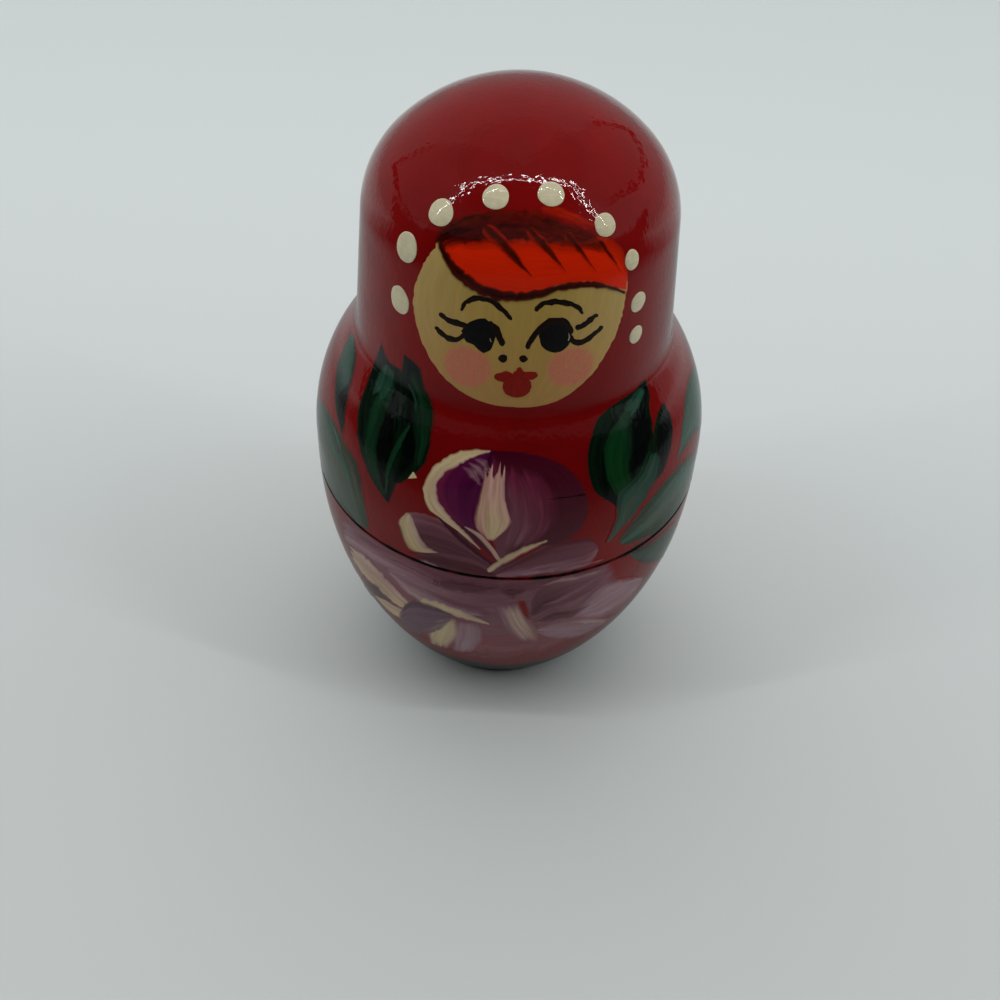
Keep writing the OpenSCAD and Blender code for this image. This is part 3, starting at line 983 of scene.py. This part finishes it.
def leaf_strokes():
    """Leaves on both shoulders: a black ground, green strokes from a full brush on it, and thin pale
    veins."""
    left_a = ([(381, 343), (369, 375), (357, 415), (358, 445), (370, 478), (387, 503)],
              [(382, 343), (390, 362), (404, 372), (412, 400), (408, 450), (389, 503)])
    left_b = ([(403, 354), (400, 385), (396, 430), (388, 482)],
              [(405, 354), (420, 368), (425, 388), (433, 402), (433, 432), (422, 468), (400, 484)])
    left_green = ([(386, 377), (370, 406), (364, 430), (362, 448), (374, 481), (385, 499)],
                  [(398, 377), (389, 409), (383, 427), (377, 447), (382, 477), (387, 499)])
    left_side = ([(406, 372), (412, 395), (411, 422), (414, 442), (412, 472)],
                 [(414, 368), (424, 390), (432, 405), (432, 432), (420, 470)])
    left_vein = [(410, 424), (398, 445), (389, 467), (386, 494)]
    left_slim = ([(350, 332), (338, 360), (334, 389), (335, 407), (342, 436)],
                 [(354, 333), (357, 356), (354, 375), (350, 392), (343, 436)])
    left_slim_black = ([(349, 380), (337, 396), (336, 408), (341, 433)],
                       [(352, 382), (349, 396), (345, 412), (342, 434)])
    left_edge = ([(316, 398), (311, 420), (311, 452), (319, 482), (334, 505), (352, 522)],
                 [(322, 399), (336, 424), (347, 445), (357, 463), (362, 484), (370, 530)])
    right_main = ([(644, 379), (633, 391), (615, 403), (600, 415), (592, 432), (587, 451), (588, 472),
                   (595, 492), (612, 503)],
                  [(646, 379), (650, 392), (650, 407), (653, 425), (655, 445), (650, 468), (640, 490),
                   (620, 510)])
    right_lobe = ([(662, 402), (655, 420), (652, 440), (650, 465), (634, 499)],
                  [(664, 402), (670, 413), (673, 432), (671, 449), (665, 469), (636, 500)])
    right_green = ([(632, 399), (618, 418), (608, 432), (603, 448), (604, 469), (609, 486), (619, 500)],
                   [(635, 399), (633, 424), (633, 451), (631, 471), (636, 486), (630, 500)])
    right_black = ([(640, 417), (633, 430), (633, 455), (633, 475)],
                   [(651, 417), (651, 440), (645, 460), (635, 476)])
    right_stem = ([(650, 446), (636, 474), (617, 494), (615, 519), (605, 543)],
                  [(662, 450), (658, 476), (646, 498), (631, 519), (609, 543)])
    right_edge = ([(692, 366), (685, 392), (682, 417), (680, 440), (676, 460)],
                  [(703, 366), (709, 390), (707, 417), (694, 435), (678, 460)])
    right_long = ([(695, 450), (677, 466), (662, 483), (648, 501), (634, 518), (617, 541)],
                  [(703, 458), (697, 475), (687, 495), (674, 516), (654, 534), (624, 546)])
    left_line = [(408, 383), (413, 392), (416, 402), (416, 414)]
    edge_lines = [[(331, 421), (337, 436), (344, 460)], [(329, 488), (335, 497), (342, 507)]]
    chip = ([(413, 472), (408, 478.5)], [(414, 472), (417, 478)])
    left_pale = ([(383, 362), (377, 378), (369, 398)], [(396, 366), (396, 380), (386, 402)])
    right_pale = ([(640, 384), (630, 397), (618, 414)], [(646, 388), (643, 402), (632, 420)])
    black = [LEAF_DEEP, LEAF_BLACK, LEAF_BLACK, LEAF_DEEP]
    misty = [LEAF_MID, LEAF_PALE, LEAF_MIST, LEAF_PALE, LEAF_MID]
    made = [stroke(petal(*leaf), 0, black, comb=0.2, streak=0.2, ragged=0.07, soft=0.14, seed=70 + i)
            for i, leaf in enumerate([left_a, right_main])]
    made += [stroke(petal(*leaf), 1, black, comb=0.2, streak=0.2, ragged=0.07, soft=0.14, seed=73 + i)
             for i, leaf in enumerate([left_b, right_lobe])]
    made += [
        stroke(petal(*left_green), 2, [LEAF_DEEP, LEAF_MID, LEAF_MID, LEAF_DEEP], comb=0.2, streak=0.15,
               ragged=0.1, dry=(0.9, 0.4), soft=0.35, thin=0.3, seed=76),
        stroke(petal(*right_green), 2, [LEAF_MID, LEAF_MID, LEAF_DEEP],
               tail=[LEAF_DEEP, LEAF_GREEN, LEAF_GREEN, LEAF_DEEP], comb=0.15, streak=0.12, ragged=0.08,
               dry=(0.6, 0.4), soft=0.3, thin=0.15, seed=77),
        stroke(petal(*left_side), 2, [LEAF_DEEP, LEAF_MID, LEAF_DEEP],
               tail=[LEAF_BLACK, LEAF_MID, LEAF_DEEP], comb=0.25, streak=0.2, ragged=0.1, dry=(0.7, 1.2),
               soft=0.4, thin=0.4, seed=79),
        stroke(petal(*left_pale), 3, [LEAF_PALE], comb=0.2, dry=(0.5, 0.8), soft=0.5, thin=0.5, seed=68),
        stroke(petal(*right_pale), 3, [LEAF_PALE], comb=0.2, dry=(0.5, 0.8), soft=0.5, thin=0.6, seed=69),
        stroke(line(left_vein, [0.4, 0.75, 0.7, 0.3]), 3, [LEAF_MID], ragged=0.08, soft=0.2, seed=80),
        stroke(line(left_line, [0.15, 0.3, 0.3, 0.15]), 3, [LEAF_PALE], soft=0.1, thin=0.4, seed=88),
        stroke(petal(*left_slim), 0, [LEAF_DEEP, LEAF_PALE, LEAF_PALE, LEAF_DEEP],
               tail=[LEAF_BLACK, LEAF_DEEP], comb=0.2, streak=0.2, soft=0.15, seed=81),
        stroke(petal(*left_slim_black), 1, [LEAF_BLACK], soft=0.25, seed=82),
        stroke(petal(*left_edge), 0, misty, comb=0.25, streak=0.15, ragged=0.07, soft=0.2, thin=0.2, seed=83),
        stroke(petal(*right_black), 3, [LEAF_BLACK], ragged=0.08, soft=0.25, seed=84),
        stroke(petal(*right_stem), 4, [LEAF_DEEP, LEAF_MID, LEAF_PALE, LEAF_DEEP],
               tail=[LEAF_PALE, LEAF_MIST, LEAF_PALE], comb=0.25, streak=0.15, ragged=0.08, dry=(0.8, 0),
               soft=0.3, thin=0.25, seed=85),
        stroke(petal(*right_edge), 0, misty, comb=0.25, streak=0.15, soft=0.2, seed=86),
        stroke(petal(*right_long), 0, misty, comb=0.25, streak=0.15, ragged=0.07, soft=0.2, thin=0.2,
               seed=87),
        stroke(petal(*chip), 2, [CREAM], seed=89),
    ]
    made += [stroke(line(spine, [0.1, 0.3, 0.1]), 1, [LEAF_MIST], soft=0.1, seed=66 + i)
             for i, spine in enumerate(edge_lines)]
    return made


def flower_strokes():
    """Pansy above the seam: violet and maroon lobes, a cream crescent, the pale fan in the middle and lower
    petals."""
    low_left = ([(398, 522), (407, 512), (423, 513), (440, 519), (460, 536), (492, 567)],
                [(399, 530), (409, 549), (430, 553), (454, 556), (476, 562), (492, 570)])
    tip = ([(406, 512), (398.5, 521), (402, 536), (410, 550), (428, 553)],
           [(412, 514), (415, 522), (419, 534), (427, 545), (440, 553)])
    band = ([(408, 552), (430, 555), (454, 558), (476, 564), (494, 573)],
            [(409, 554), (430, 566), (455, 575), (476, 579), (496, 580)])
    right_low = ([(494, 572), (520, 558), (549, 542), (573, 538), (592, 538), (598, 545)],
                 [(496, 579), (522, 578), (551, 575), (574, 571), (592, 563), (599, 550)])
    lobe_left = ([(488, 449), (466, 456), (446, 465), (432, 483), (435, 501), (449, 521), (484, 551)],
                 [(494, 451), (494, 462), (487, 480), (481, 500), (477, 523), (482, 535), (490, 548)])
    lobe_right = ([(491, 451), (490, 470), (489, 500), (490, 530), (495, 550), (500, 562)],
                  [(494, 450), (530, 453), (562, 464), (582, 482), (589, 500), (586, 522), (566, 541),
                   (530, 548), (502, 562)])
    crescent = ([(492, 450), (475, 448.5), (458, 451), (442, 459), (430, 470), (423.5, 483), (423, 496),
                 (428, 509), (440, 518), (456, 530), (480, 550)],
                [(490, 452.5), (475, 457), (457, 467), (443, 476), (437, 486), (439, 498), (446, 510),
                 (455, 521), (466, 532), (482, 549)])
    gap_line = [(438, 516), (452, 531), (470, 547), (495, 566)]
    lens = ([(452, 520), (466, 533), (482, 548), (497, 563)],
            [(456, 521), (474, 533), (488, 548), (499, 562)])
    edge_line = [(464, 526), (479, 535), (491, 548), (501, 563)]
    fan = ([(486, 458), (483, 478), (479, 496), (474, 524), (488, 541)],
           [(507, 458), (505, 484), (507, 507), (512, 522), (493, 542)])
    cream_stroke = [(487, 571), (503, 561), (521, 551), (548, 540)]
    crease = [(540, 500), (560, 498), (587, 494)]
    glaze = ([(500, 462), (501, 490), (504, 520), (500, 552)],
             [(536, 464), (556, 490), (560, 522), (528, 552)])
    streaks = [[(468, 462), (476, 468), (485, 479)], [(462, 466), (472, 473), (481, 486)],
               [(474, 458), (484, 464), (489, 473)]]
    flakes = [[(508, 576), (530, 573.5), (556, 570), (580, 566), (604, 559)],
              [(418, 559), (428, 563), (441, 568)]]
    under = ([(402, 525), (430, 522), (457, 528), (494, 560), (530, 552), (570, 543), (593, 544)],
             [(405, 546), (430, 565), (458, 575), (495, 580), (530, 577), (566, 571), (596, 554)])
    made = [
        stroke(petal(*under), -0.8, [MAUVE_DARK, MAUVE, MAUVE_DARK], comb=0.2, streak=0.15, soft=0.6,
               bead=0, seed=89),
        stroke(petal(*low_left), 0, [MAUVE_PALE, MAUVE, MAUVE_DARK, MAUVE], tail=[MAUVE, MAUVE_DARK],
               comb=0.2, streak=0.15, ragged=0.08, soft=0.25, thin=0.15, seed=90),
        stroke(petal(*band), 1, [MAUVE_DARK, MAUVE_DARK, MAUVE], comb=0.3, streak=0.2, ragged=0.08,
               soft=0.3, thin=0.2, seed=91),
        stroke(petal(*right_low), 0, [MAUVE_DARK, MAUVE, MAUVE, MAUVE_PALE, MAUVE], comb=0.2, streak=0.15,
               ragged=0.08, soft=0.35, thin=0.2, seed=92),
        stroke(petal(*tip), 2, [TAN, CREAM, CREAM, CREAM_PINK, MAUVE], comb=0.2, streak=0.12, ragged=0.1,
               soft=0.3, thin=0.3, seed=93),
        stroke(petal(*lobe_right), 2, [PLUM, MAROON, MAROON, MAROON, MAROON],
               tail=[MAUVE, MAUVE, MAUVE_DARK, MAUVE_DARK], comb=0.04, streak=0.05, ragged=0.07, soft=0.25,
               seed=94),
        stroke(petal(*glaze), 3, [PLUM, PLUM, PLUM], tail=[MAUVE_PALE, MAUVE, MAUVE_DARK], comb=0.3,
               streak=0.15, ragged=0.1, dry=(1.2, 0.5), soft=2.2, thin=0.4, seed=104),
        stroke(petal(*lobe_left), 4, [PLUM, VIOLET, VIOLET, VIOLET_DEEP, VIOLET],
               tail=[PLUM, VIOLET, VIOLET], comb=0.12, streak=0.15, soft=0.25, seed=95),
        stroke(line(gap_line, [0.3, 0.6, 0.6, 0.3]), 2, [MAROON], soft=0.1, seed=96),
        stroke(petal(*lens), 5, [MAROON, MAUVE_DARK], soft=0.15, seed=97),
        stroke(petal(*crescent), 6, [CREAM, CREAM, CREAM, CREAM_PINK], tail=[CREAM, CREAM_PINK], comb=0.15,
               streak=0.06, ragged=0.14, soft=0.22, thin=0.15, seed=98),
        stroke(line(edge_line, [0.2, 0.55, 0.6, 0.4]), 6, [CREAM_PINK], soft=0.15, thin=0.2, seed=99),
        stroke(petal(*fan), 5, [FAN_PINK, FAN_PINK, FAN_PINK], tail=[FAN_PINK, CREAM, CREAM, FAN_PINK],
               comb=0.25, streak=0.08, ragged=0.08, dry=(2.2, 0.2), soft=0.55, thin=0.3, seed=100),
        stroke(line(cream_stroke, [0.6, 0.9, 0.8, 0.3]), 6, [CREAM_PINK, CREAM, CREAM_PINK], ragged=0.08,
               soft=0.25, thin=0.2, seed=101),
        stroke(line(crease, [0.08, 0.22, 0.28]), 4, [SEAM_BROWN], soft=0.1, seed=102),
    ]
    made += [stroke(line(spine, [0.4, 1.2, 0.4]), 5 + i, [MAUVE_PALE], ragged=0.1, soft=0.6, thin=0.5,
                    seed=105 + i) for i, spine in enumerate(streaks)]
    made += [stroke(line(spine, [0.2, 0.6, 0.5, 0.2]), 2, [LILAC], ragged=0.1, streak=0.2, soft=0.4, thin=0.4,
                    seed=108 + i) for i, spine in enumerate(flakes)]
    return made


def lower_petals():
    """Petals of the same flower below the seam."""
    far_left = ([(343, 527), (371, 542), (399, 556), (433, 573), (467, 582), (500, 583)],
                [(344, 540), (366, 556), (386, 568), (420, 585), (455, 598), (492, 606)])
    mid_left = ([(386, 566), (420, 580), (455, 594), (490, 603)],
                [(388, 573), (412, 597), (445, 611), (491, 618)])
    cream_left = ([(347, 541), (366, 556), (382, 572), (396, 588), (411, 602)],
                  [(348, 550), (354, 562), (367, 581), (385, 597), (405, 611)])
    slit = [(362, 577), (376, 591), (392, 602)]
    cream_low = ([(373, 591), (389, 602), (406, 610)], [(375.5, 598), (390.5, 612.5), (405, 622)])
    cream_line = [(420, 600), (436, 605), (458, 613), (490, 624)]
    violet_low = ([(398, 613), (411, 601), (432, 604), (453, 614)],
                  [(400, 622), (415, 633), (436, 632), (452, 621)])
    blob_a = ([(440, 616), (428, 630), (429, 644)], [(456, 617), (460, 633), (447, 650)])
    blob_b = ([(455, 620), (454, 638), (452, 652)], [(480, 623), (484, 639), (472, 653)])
    middle = ([(495, 604), (499, 621), (508, 634), (521, 643)],
              [(523, 600), (529, 616), (538, 631), (539, 643)])
    right_a = ([(528, 617), (533, 592), (551, 581), (583, 573), (607, 566)],
               [(530, 619), (560, 609), (583, 596), (604, 580), (609, 568)])
    right_b = ([(571, 615), (583, 602), (606, 583), (624, 577), (643, 576)],
               [(574, 618), (605, 618), (628, 604), (642, 585), (645, 578)])
    right_c = ([(534, 628), (551, 622), (573, 616), (610, 618)],
               [(536, 634), (556, 640), (580, 638), (611, 620)])
    leaf_low = ([(629, 552), (640, 548), (657, 537), (675, 521)],
                [(632, 559), (646, 564), (661, 559), (679, 530)])
    red_gap = ([(516, 599), (519, 611), (526, 621)], [(526, 600), (530, 611), (532, 620)])
    mass = ([(338, 500), (371, 518), (399, 534), (433, 552), (467, 562), (500, 565), (550, 561), (584, 553),
             (606, 546)],
            [(346, 560), (374, 592), (402, 622), (432, 645), (468, 658), (505, 662), (552, 652), (594, 628),
             (626, 592)])
    veil = ([(420, 583), (445, 596), (470, 604), (496, 608)],
            [(428, 592), (450, 605), (474, 614), (494, 616)])
    sweeps = [
        ([(540, 606), (565, 597), (590, 582), (604, 574)], [0.2, 0.8, 0.7, 0.2], [MAUVE, MAUVE_PALE, MAUVE]),
        ([(540, 586), (560, 580), (584, 575), (603, 569)], [0.2, 0.7, 0.6, 0.2], [MAUVE_PALE, CREAM_PINK]),
        ([(570, 622), (590, 620), (606, 619), (616, 615)], [0.2, 0.8, 0.8, 0.2], [LILAC, CREAM_PINK]),
        ([(398, 574), (430, 590), (462, 601), (490, 606)], [0.15, 0.6, 0.5, 0.1], [MAUVE_PALE, MAUVE]),
        ([(372, 552), (400, 566), (430, 580), (460, 589)], [0.15, 0.7, 0.6, 0.1], [MAUVE_PALE, MAUVE]),
        ([(450, 586), (470, 590), (495, 592)], [0.2, 0.8, 0.3], [MAUVE_DARK, MAUVE]),
        ([(532, 622), (552, 616), (574, 612), (590, 604)], [0.3, 1.3, 1.2, 0.3], [MAUVE_DARK]),
        ([(500, 590), (512, 592), (526, 590)], [0.4, 1.6, 0.4], [MAUVE_DARK]),
        ([(420, 577), (450, 585), (478, 588), (500, 587)], [0.3, 1.2, 1.2, 0.3], [MAUVE_DARK]),
        ([(536, 632), (556, 634), (580, 632)], [0.2, 0.9, 0.3], [LILAC, MAUVE_PALE]),
    ]
    made = [
        stroke(petal(*mass), 0, [MAUVE, MAUVE, MAUVE_MID, MAUVE_MID, MAUVE_RED, MAUVE_RED], comb=0.12,
               streak=0.12, ragged=0.1, soft=1.4, seed=130),
        stroke(petal(*far_left), 1, [MAUVE, MAUVE_MID, MAUVE_PALE, LILAC, LILAC], tail=[MAUVE, MAUVE_MID],
               comb=0.25, streak=0.2, dry=(0, 2), soft=0.5, thin=0.2, seed=110),
        stroke(petal(*mid_left), 2, [LILAC, MAUVE_PALE, MAUVE_PALE, LILAC, CREAM_PINK],
               tail=[MAUVE_MID, MAUVE_MID, LILAC], comb=0.25, streak=0.2, ragged=0.1, dry=(0.3, 2),
               soft=0.4, thin=0.2, seed=111),
        stroke(petal(*veil), 3, [MAUVE_MID, MAUVE, MAUVE_MID], comb=0.3, streak=0.2, ragged=0.1,
               dry=(1, 1.5), soft=0.6, thin=0.3, seed=131),
        stroke(petal(*cream_left), 3, [CREAM_PINK, CREAM_PINK, CREAM, CREAM_PINK], tail=[CREAM_PINK, CREAM],
               comb=0.2, streak=0.1, ragged=0.12, dry=(1.2, 0.4), soft=0.4, thin=0.35, seed=112),
        stroke(line(slit, [0.4, 1.3, 0.5]), 4, [MAUVE_DARK], ragged=0.1, soft=0.3, seed=113),
        stroke(petal(*cream_low), 3, [CREAM_PINK, CREAM, CREAM], ragged=0.06, dry=(0.6, 0.3), soft=0.2,
               thin=0.2, seed=114),
        stroke(petal(*violet_low), 6, [BUD_DEEP, BUD_MAUVE, BUD_MAUVE, BUD_MAUVE], comb=0.2, streak=0.15,
               ragged=0.06, soft=0.3, thin=0.2, seed=115),
        stroke(line(cream_line, [0.9, 1.0, 0.8, 0.3]), 5, [CREAM_PINK, CREAM, CREAM_PINK], ragged=0.12,
               soft=0.25, thin=0.25, seed=116),
        stroke(petal(*blob_b), 3, [LILAC], comb=0.3, ragged=0.1, soft=0.6, thin=0.3, seed=117),
        stroke(petal(*blob_a), 4, [CREAM_PINK, CREAM, CREAM, CREAM_PINK], comb=0.2, ragged=0.08,
               dry=(0.1, 0.1), soft=0.7, thin=0.1, seed=118),
        stroke(petal(*right_a), 1, [MAUVE, MAUVE_DARK, MAUVE_DARK, MAUVE], tail=[MAUVE_PALE, MAUVE],
               comb=0.25, streak=0.15, ragged=0.08, soft=0.6, thin=0.2, seed=119),
        stroke(petal(*right_c), 2, [MAUVE_PALE, LILAC, LILAC, MAUVE_PALE], comb=0.25, streak=0.15,
               ragged=0.1, soft=0.6, thin=0.3, seed=120),
        stroke(petal(*right_b), 3, [LILAC, LILAC, LILAC, MAUVE_PALE], comb=0.2, streak=0.12, ragged=0.1,
               soft=0.6, thin=0.25, seed=121),
        stroke(petal(*middle), 4, [LILAC, CREAM_PINK, LILAC], tail=[MAUVE_PALE, CREAM_PINK, CREAM],
               comb=0.3, streak=0.08, ragged=0.08, dry=(0.3, 0.3), soft=1.3, thin=0.2, seed=122),
        stroke(petal(*red_gap), 5, [RED], ragged=0.1, soft=0.4, seed=123),
        stroke(petal(*leaf_low), 1, [LEAF_DEEP, LEAF_PALE, LEAF_PALE, LEAF_DEEP], comb=0.25, streak=0.15,
               soft=0.25, thin=0.2, seed=124),
    ]
    made += [stroke(line(spine, widths), 5 + i % 2, paints, ragged=0.1, streak=0.15, soft=0.4, thin=0.45,
                    seed=132 + i) for i, (spine, widths, paints) in enumerate(sweeps)]
    return made


def keep_to_half(strokes, upper):
    """Strokes held back from the seam: a height past the half's edge keeps a hundredth of its way past
    it."""
    edge = SEAM_Z + (SEAM_EDGE if upper else -SEAM_EDGE)
    for s in strokes:
        past = np.minimum(s["z"] - edge, 0) if upper else np.maximum(s["z"] - edge, 0)
        s["z"] = s["z"] - 0.99 * past
    return strokes


def paint_dolls(gouache, face_wood):
    """The painting on every doll, a piece for each motif."""
    upper = {
        "face": (face_disc(), face_wood),
        "features": (face_lines(), gouache),
        "hair": (hair_strokes(), gouache),
        "dots": (dots(), gouache),
        "leaves": (keep_to_half(leaf_strokes(), True), gouache),
        "flower": (keep_to_half(flower_strokes(), True), gouache),
    }
    petals = keep_to_half(lower_petals(), False)
    lay_over(sum((upper[motif][0] for motif in ("face", "features", "hair", "leaves", "flower")), []))
    lay_over(petals)
    for k, doll in enumerate(DOLLS):
        top, bottom = f"{doll}_top", f"{doll}_bottom"
        if doll == "smallest":
            top = bottom = "smallest_doll"
        for motif, (strokes, material) in upper.items():
            film(f"{doll}_{motif}", strokes, k, material, top)
        film(f"{doll}_petals", petals, k, gouache, bottom)


# Stage
def put_floor():
    """Level board, wide enough to fill the view, a hair below the base."""
    corners = np.array([(-1, -1, 0), (1, -1, 0), (1, 1, 0), (-1, 1, 0)]) * FLOOR_HALF - [0, 0, FLOOR_DROP]
    mesh = bpy.data.meshes.new("floor")
    mesh.from_pydata((corners * MM).tolist(), [], [(0, 1, 2, 3)])
    mesh.materials.append(matt_board("matt_white_board"))
    floor = bpy.data.objects.new("floor", mesh)
    bpy.context.scene.collection.objects.link(floor)


def put_lamp(name, at, width, depth, radiance):
    """Soft rectangular lamp at a place round the head, turned to it: its long side lies along X or, where
    that would point at the head, upright. Its power in watts is radiance x area x pi."""
    data = bpy.data.lights.new(name, "AREA")
    data.shape = "RECTANGLE"
    data.size, data.size_y = width * MM, depth * MM
    data.energy = radiance * np.pi * width * depth * MM ** 2
    lamp = bpy.data.objects.new(name, data)
    back = np.array(at, float) / np.linalg.norm(at)
    right = np.array([1.0, 0, 0]) if abs(back[0]) < 0.5 else np.array([0, 0, 1.0])
    right -= back * (right @ back)
    right /= np.linalg.norm(right)
    axes = np.eye(4)
    axes[:3, 0], axes[:3, 1], axes[:3, 2] = right, np.cross(back, right), back
    axes[:3, 3] = (np.array(at) + HEAD_AT) * MM
    lamp.matrix_world = Matrix(axes.tolist())
    lamp.visible_camera = False
    bpy.context.scene.collection.objects.link(lamp)


def panels(tree, way, parts):
    """Share of the box's light from each direction: the two side panels are greyer and have dark seams, the
    room is dark through the gap under them, and the roof is greyer than the back. S-curves soften every
    edge."""
    ripple = node(tree, "TexNoise", {"Vector": way, "Scale": 6.0, "Detail": 4.0})
    height = node(tree, "Math", [ripple, PANEL_WAVE, parts["Z"]], operation="MULTIPLY_ADD")
    left_turn = node(tree, "VectorMath", [way, LEFT_PANEL], operation="DOT_PRODUCT")
    left_high = node(tree, "Math", [height, LEFT_FOOT], operation="SUBTRACT")
    left = node(tree, "Math", [left_turn, left_high], operation="MINIMUM")
    right_turn = node(tree, "VectorMath", [way, RIGHT_PANEL], operation="DOT_PRODUCT")
    right_rise = node(tree, "Math", [parts["Y"], RIGHT_FOOT_RISE, height], operation="MULTIPLY_ADD")
    right_high = node(tree, "Math", [right_rise, RIGHT_FOOT], operation="SUBTRACT")
    right = node(tree, "Math", [right_turn, right_high], operation="MINIMUM")
    left_off = node(tree, "Math", [left], operation="ABSOLUTE")
    right_off = node(tree, "Math", [right], operation="ABSOLUTE")
    off = node(tree, "Math", [left_off, right_off], operation="MINIMUM")
    dark_seam = node(tree, "MapRange", [off, 0.014, 0.034, 0.05, 1.0], **SOFT_EDGE)
    ahead = node(tree, "MapRange", [parts["Y"], -0.3, -0.1, 1.0, 0.0], **SOFT_EDGE)
    overhead = node(tree, "MapRange", [parts["Z"], 0.5, 0.72, 0.0, 1.0], **SOFT_EDGE)
    unseamed = node(tree, "Math", [ahead, overhead], operation="MAXIMUM")
    seam = node(tree, "Math", [dark_seam, unseamed], operation="MAXIMUM")
    within = node(tree, "Math", [left, right], operation="MAXIMUM")
    panel = node(tree, "MapRange", [within, 0.0, 0.06, 1.0, 0.7], **SOFT_EDGE)
    over_gap = node(tree, "VectorMath", [way, FRONT_GAP], operation="DOT_PRODUCT")
    in_front = node(tree, "MapRange", [over_gap, GAP_LEVEL - 0.04, GAP_LEVEL + 0.04, 0.0, 0.9], **SOFT_EDGE)
    low = node(tree, "MapRange", [parts["Z"], 0.17, 0.24, 1.0, 0.0], **SOFT_EDGE)
    gap = node(tree, "Math", [in_front, low], operation="MULTIPLY")
    closed = node(tree, "Math", [1.0, gap], operation="SUBTRACT")
    share = node(tree, "MapRange", [parts["Z"], 0.78, 0.86, 1.0, 0.75], **SOFT_EDGE)
    for part in (seam, panel, closed):
        share = node(tree, "Math", [share, part], operation="MULTIPLY")
    return share


def light_box():
    """White box, open to the front. The lacquer mirrors its inside, its front frame with the strip, the
    grey curtain over the opening and the dark opening; the floor and the paint take the light that bounces
    in it."""
    put_lamp("top_strip", (0, FRAME_FRONT, FRAME_TOP), 2 * FRAME_HALF, STRIP_DEPTH, STRIP_RADIANCE)
    rise = FRAME_TOP - SIDE_LOW
    for side, name in ((-1, "left_strip"), (1, "right_strip")):
        at = (side * FRAME_HALF, SIDE_FRONT, SIDE_LOW + rise / 2)
        put_lamp(name, at, rise, STRIP_DEPTH, STRIP_RADIANCE)
    world = bpy.data.worlds.new("light_box")
    bpy.context.scene.world = world
    world.use_nodes = True
    tree = world.node_tree
    tree.nodes.clear()
    way = node(tree, "TexCoord").outputs["Generated"]
    parts = node(tree, "SeparateXYZ", [way]).outputs
    aside = node(tree, "Math", [parts["X"]], operation="ABSOLUTE")
    beside = node(tree, "Math", [aside, -SIDE_FRONT / FRAME_HALF], operation="MULTIPLY")
    above = node(tree, "Math", [parts["Z"], -FRAME_FRONT / FRAME_TOP], operation="MULTIPLY")
    frame_edge = node(tree, "Math", [beside, above], operation="MAXIMUM")
    depth = node(tree, "Math", [parts["Y"], frame_edge], operation="ADD")
    inside = node(tree, "MapRange", [depth, -0.02, 0.03], **SOFT_EDGE)
    hem = node(tree, "VectorMath", [way, CURTAIN_EDGE], operation="DOT_PRODUCT")
    hung = node(tree, "MapRange", [hem, 0.04, 0.08, 0.0, CURTAIN_GREY], **SOFT_EDGE)
    shaded = node(tree, "MapRange", [parts["Z"], 0.6, 0.85, 1.0, 0.35], **SOFT_EDGE)
    curtain = node(tree, "Math", [hung, shaded], operation="MULTIPLY")
    grey = node(tree, "Mix", {0: inside, 2: curtain, 3: BOX_GREY}, data_type="FLOAT")
    mirrored = node(tree, "Math", [grey, panels(tree, way, parts)], operation="MULTIPLY")
    rays = node(tree, "LightPath").outputs
    spread = node(tree, "Math", [rays["Is Diffuse Ray"], inside], operation="MULTIPLY")
    bounced = node(tree, "Math", [spread, BOUNCE - 1, 1.0], operation="MULTIPLY_ADD")
    lit = node(tree, "Math", [mirrored, bounced], operation="MULTIPLY")
    seen = node(tree, "Mix", {0: rays["Is Camera Ray"], 2: lit, 3: CAMERA_GREY}, data_type="FLOAT")
    room = node(tree, "Background", {"Color": rgba(BOX_WHITE), "Strength": seen})
    node(tree, "OutputWorld", {"Surface": room})


place_camera()
red_ground = gouache_under_lacquer("red_gouache_under_lacquer", False)
brushed_gouache = gouache_under_lacquer("brushed_gouache_under_lacquer", True)
inner_wood = bare_limewood("turned_limewood", False)
lacquered_wood = bare_limewood("limewood_face_under_lacquer", True)
seam_paint = worn_and_shaded_paint("worn_and_shaded_paint_on_seam")
for doll_number in range(len(DOLLS) - 1):
    make_halves(doll_number, [red_ground, inner_wood, seam_paint])
make_smallest([red_ground, inner_wood])
paint_dolls(brushed_gouache, lacquered_wood)
put_floor()
light_box()
bpy.context.scene.view_settings.view_transform = "Standard"
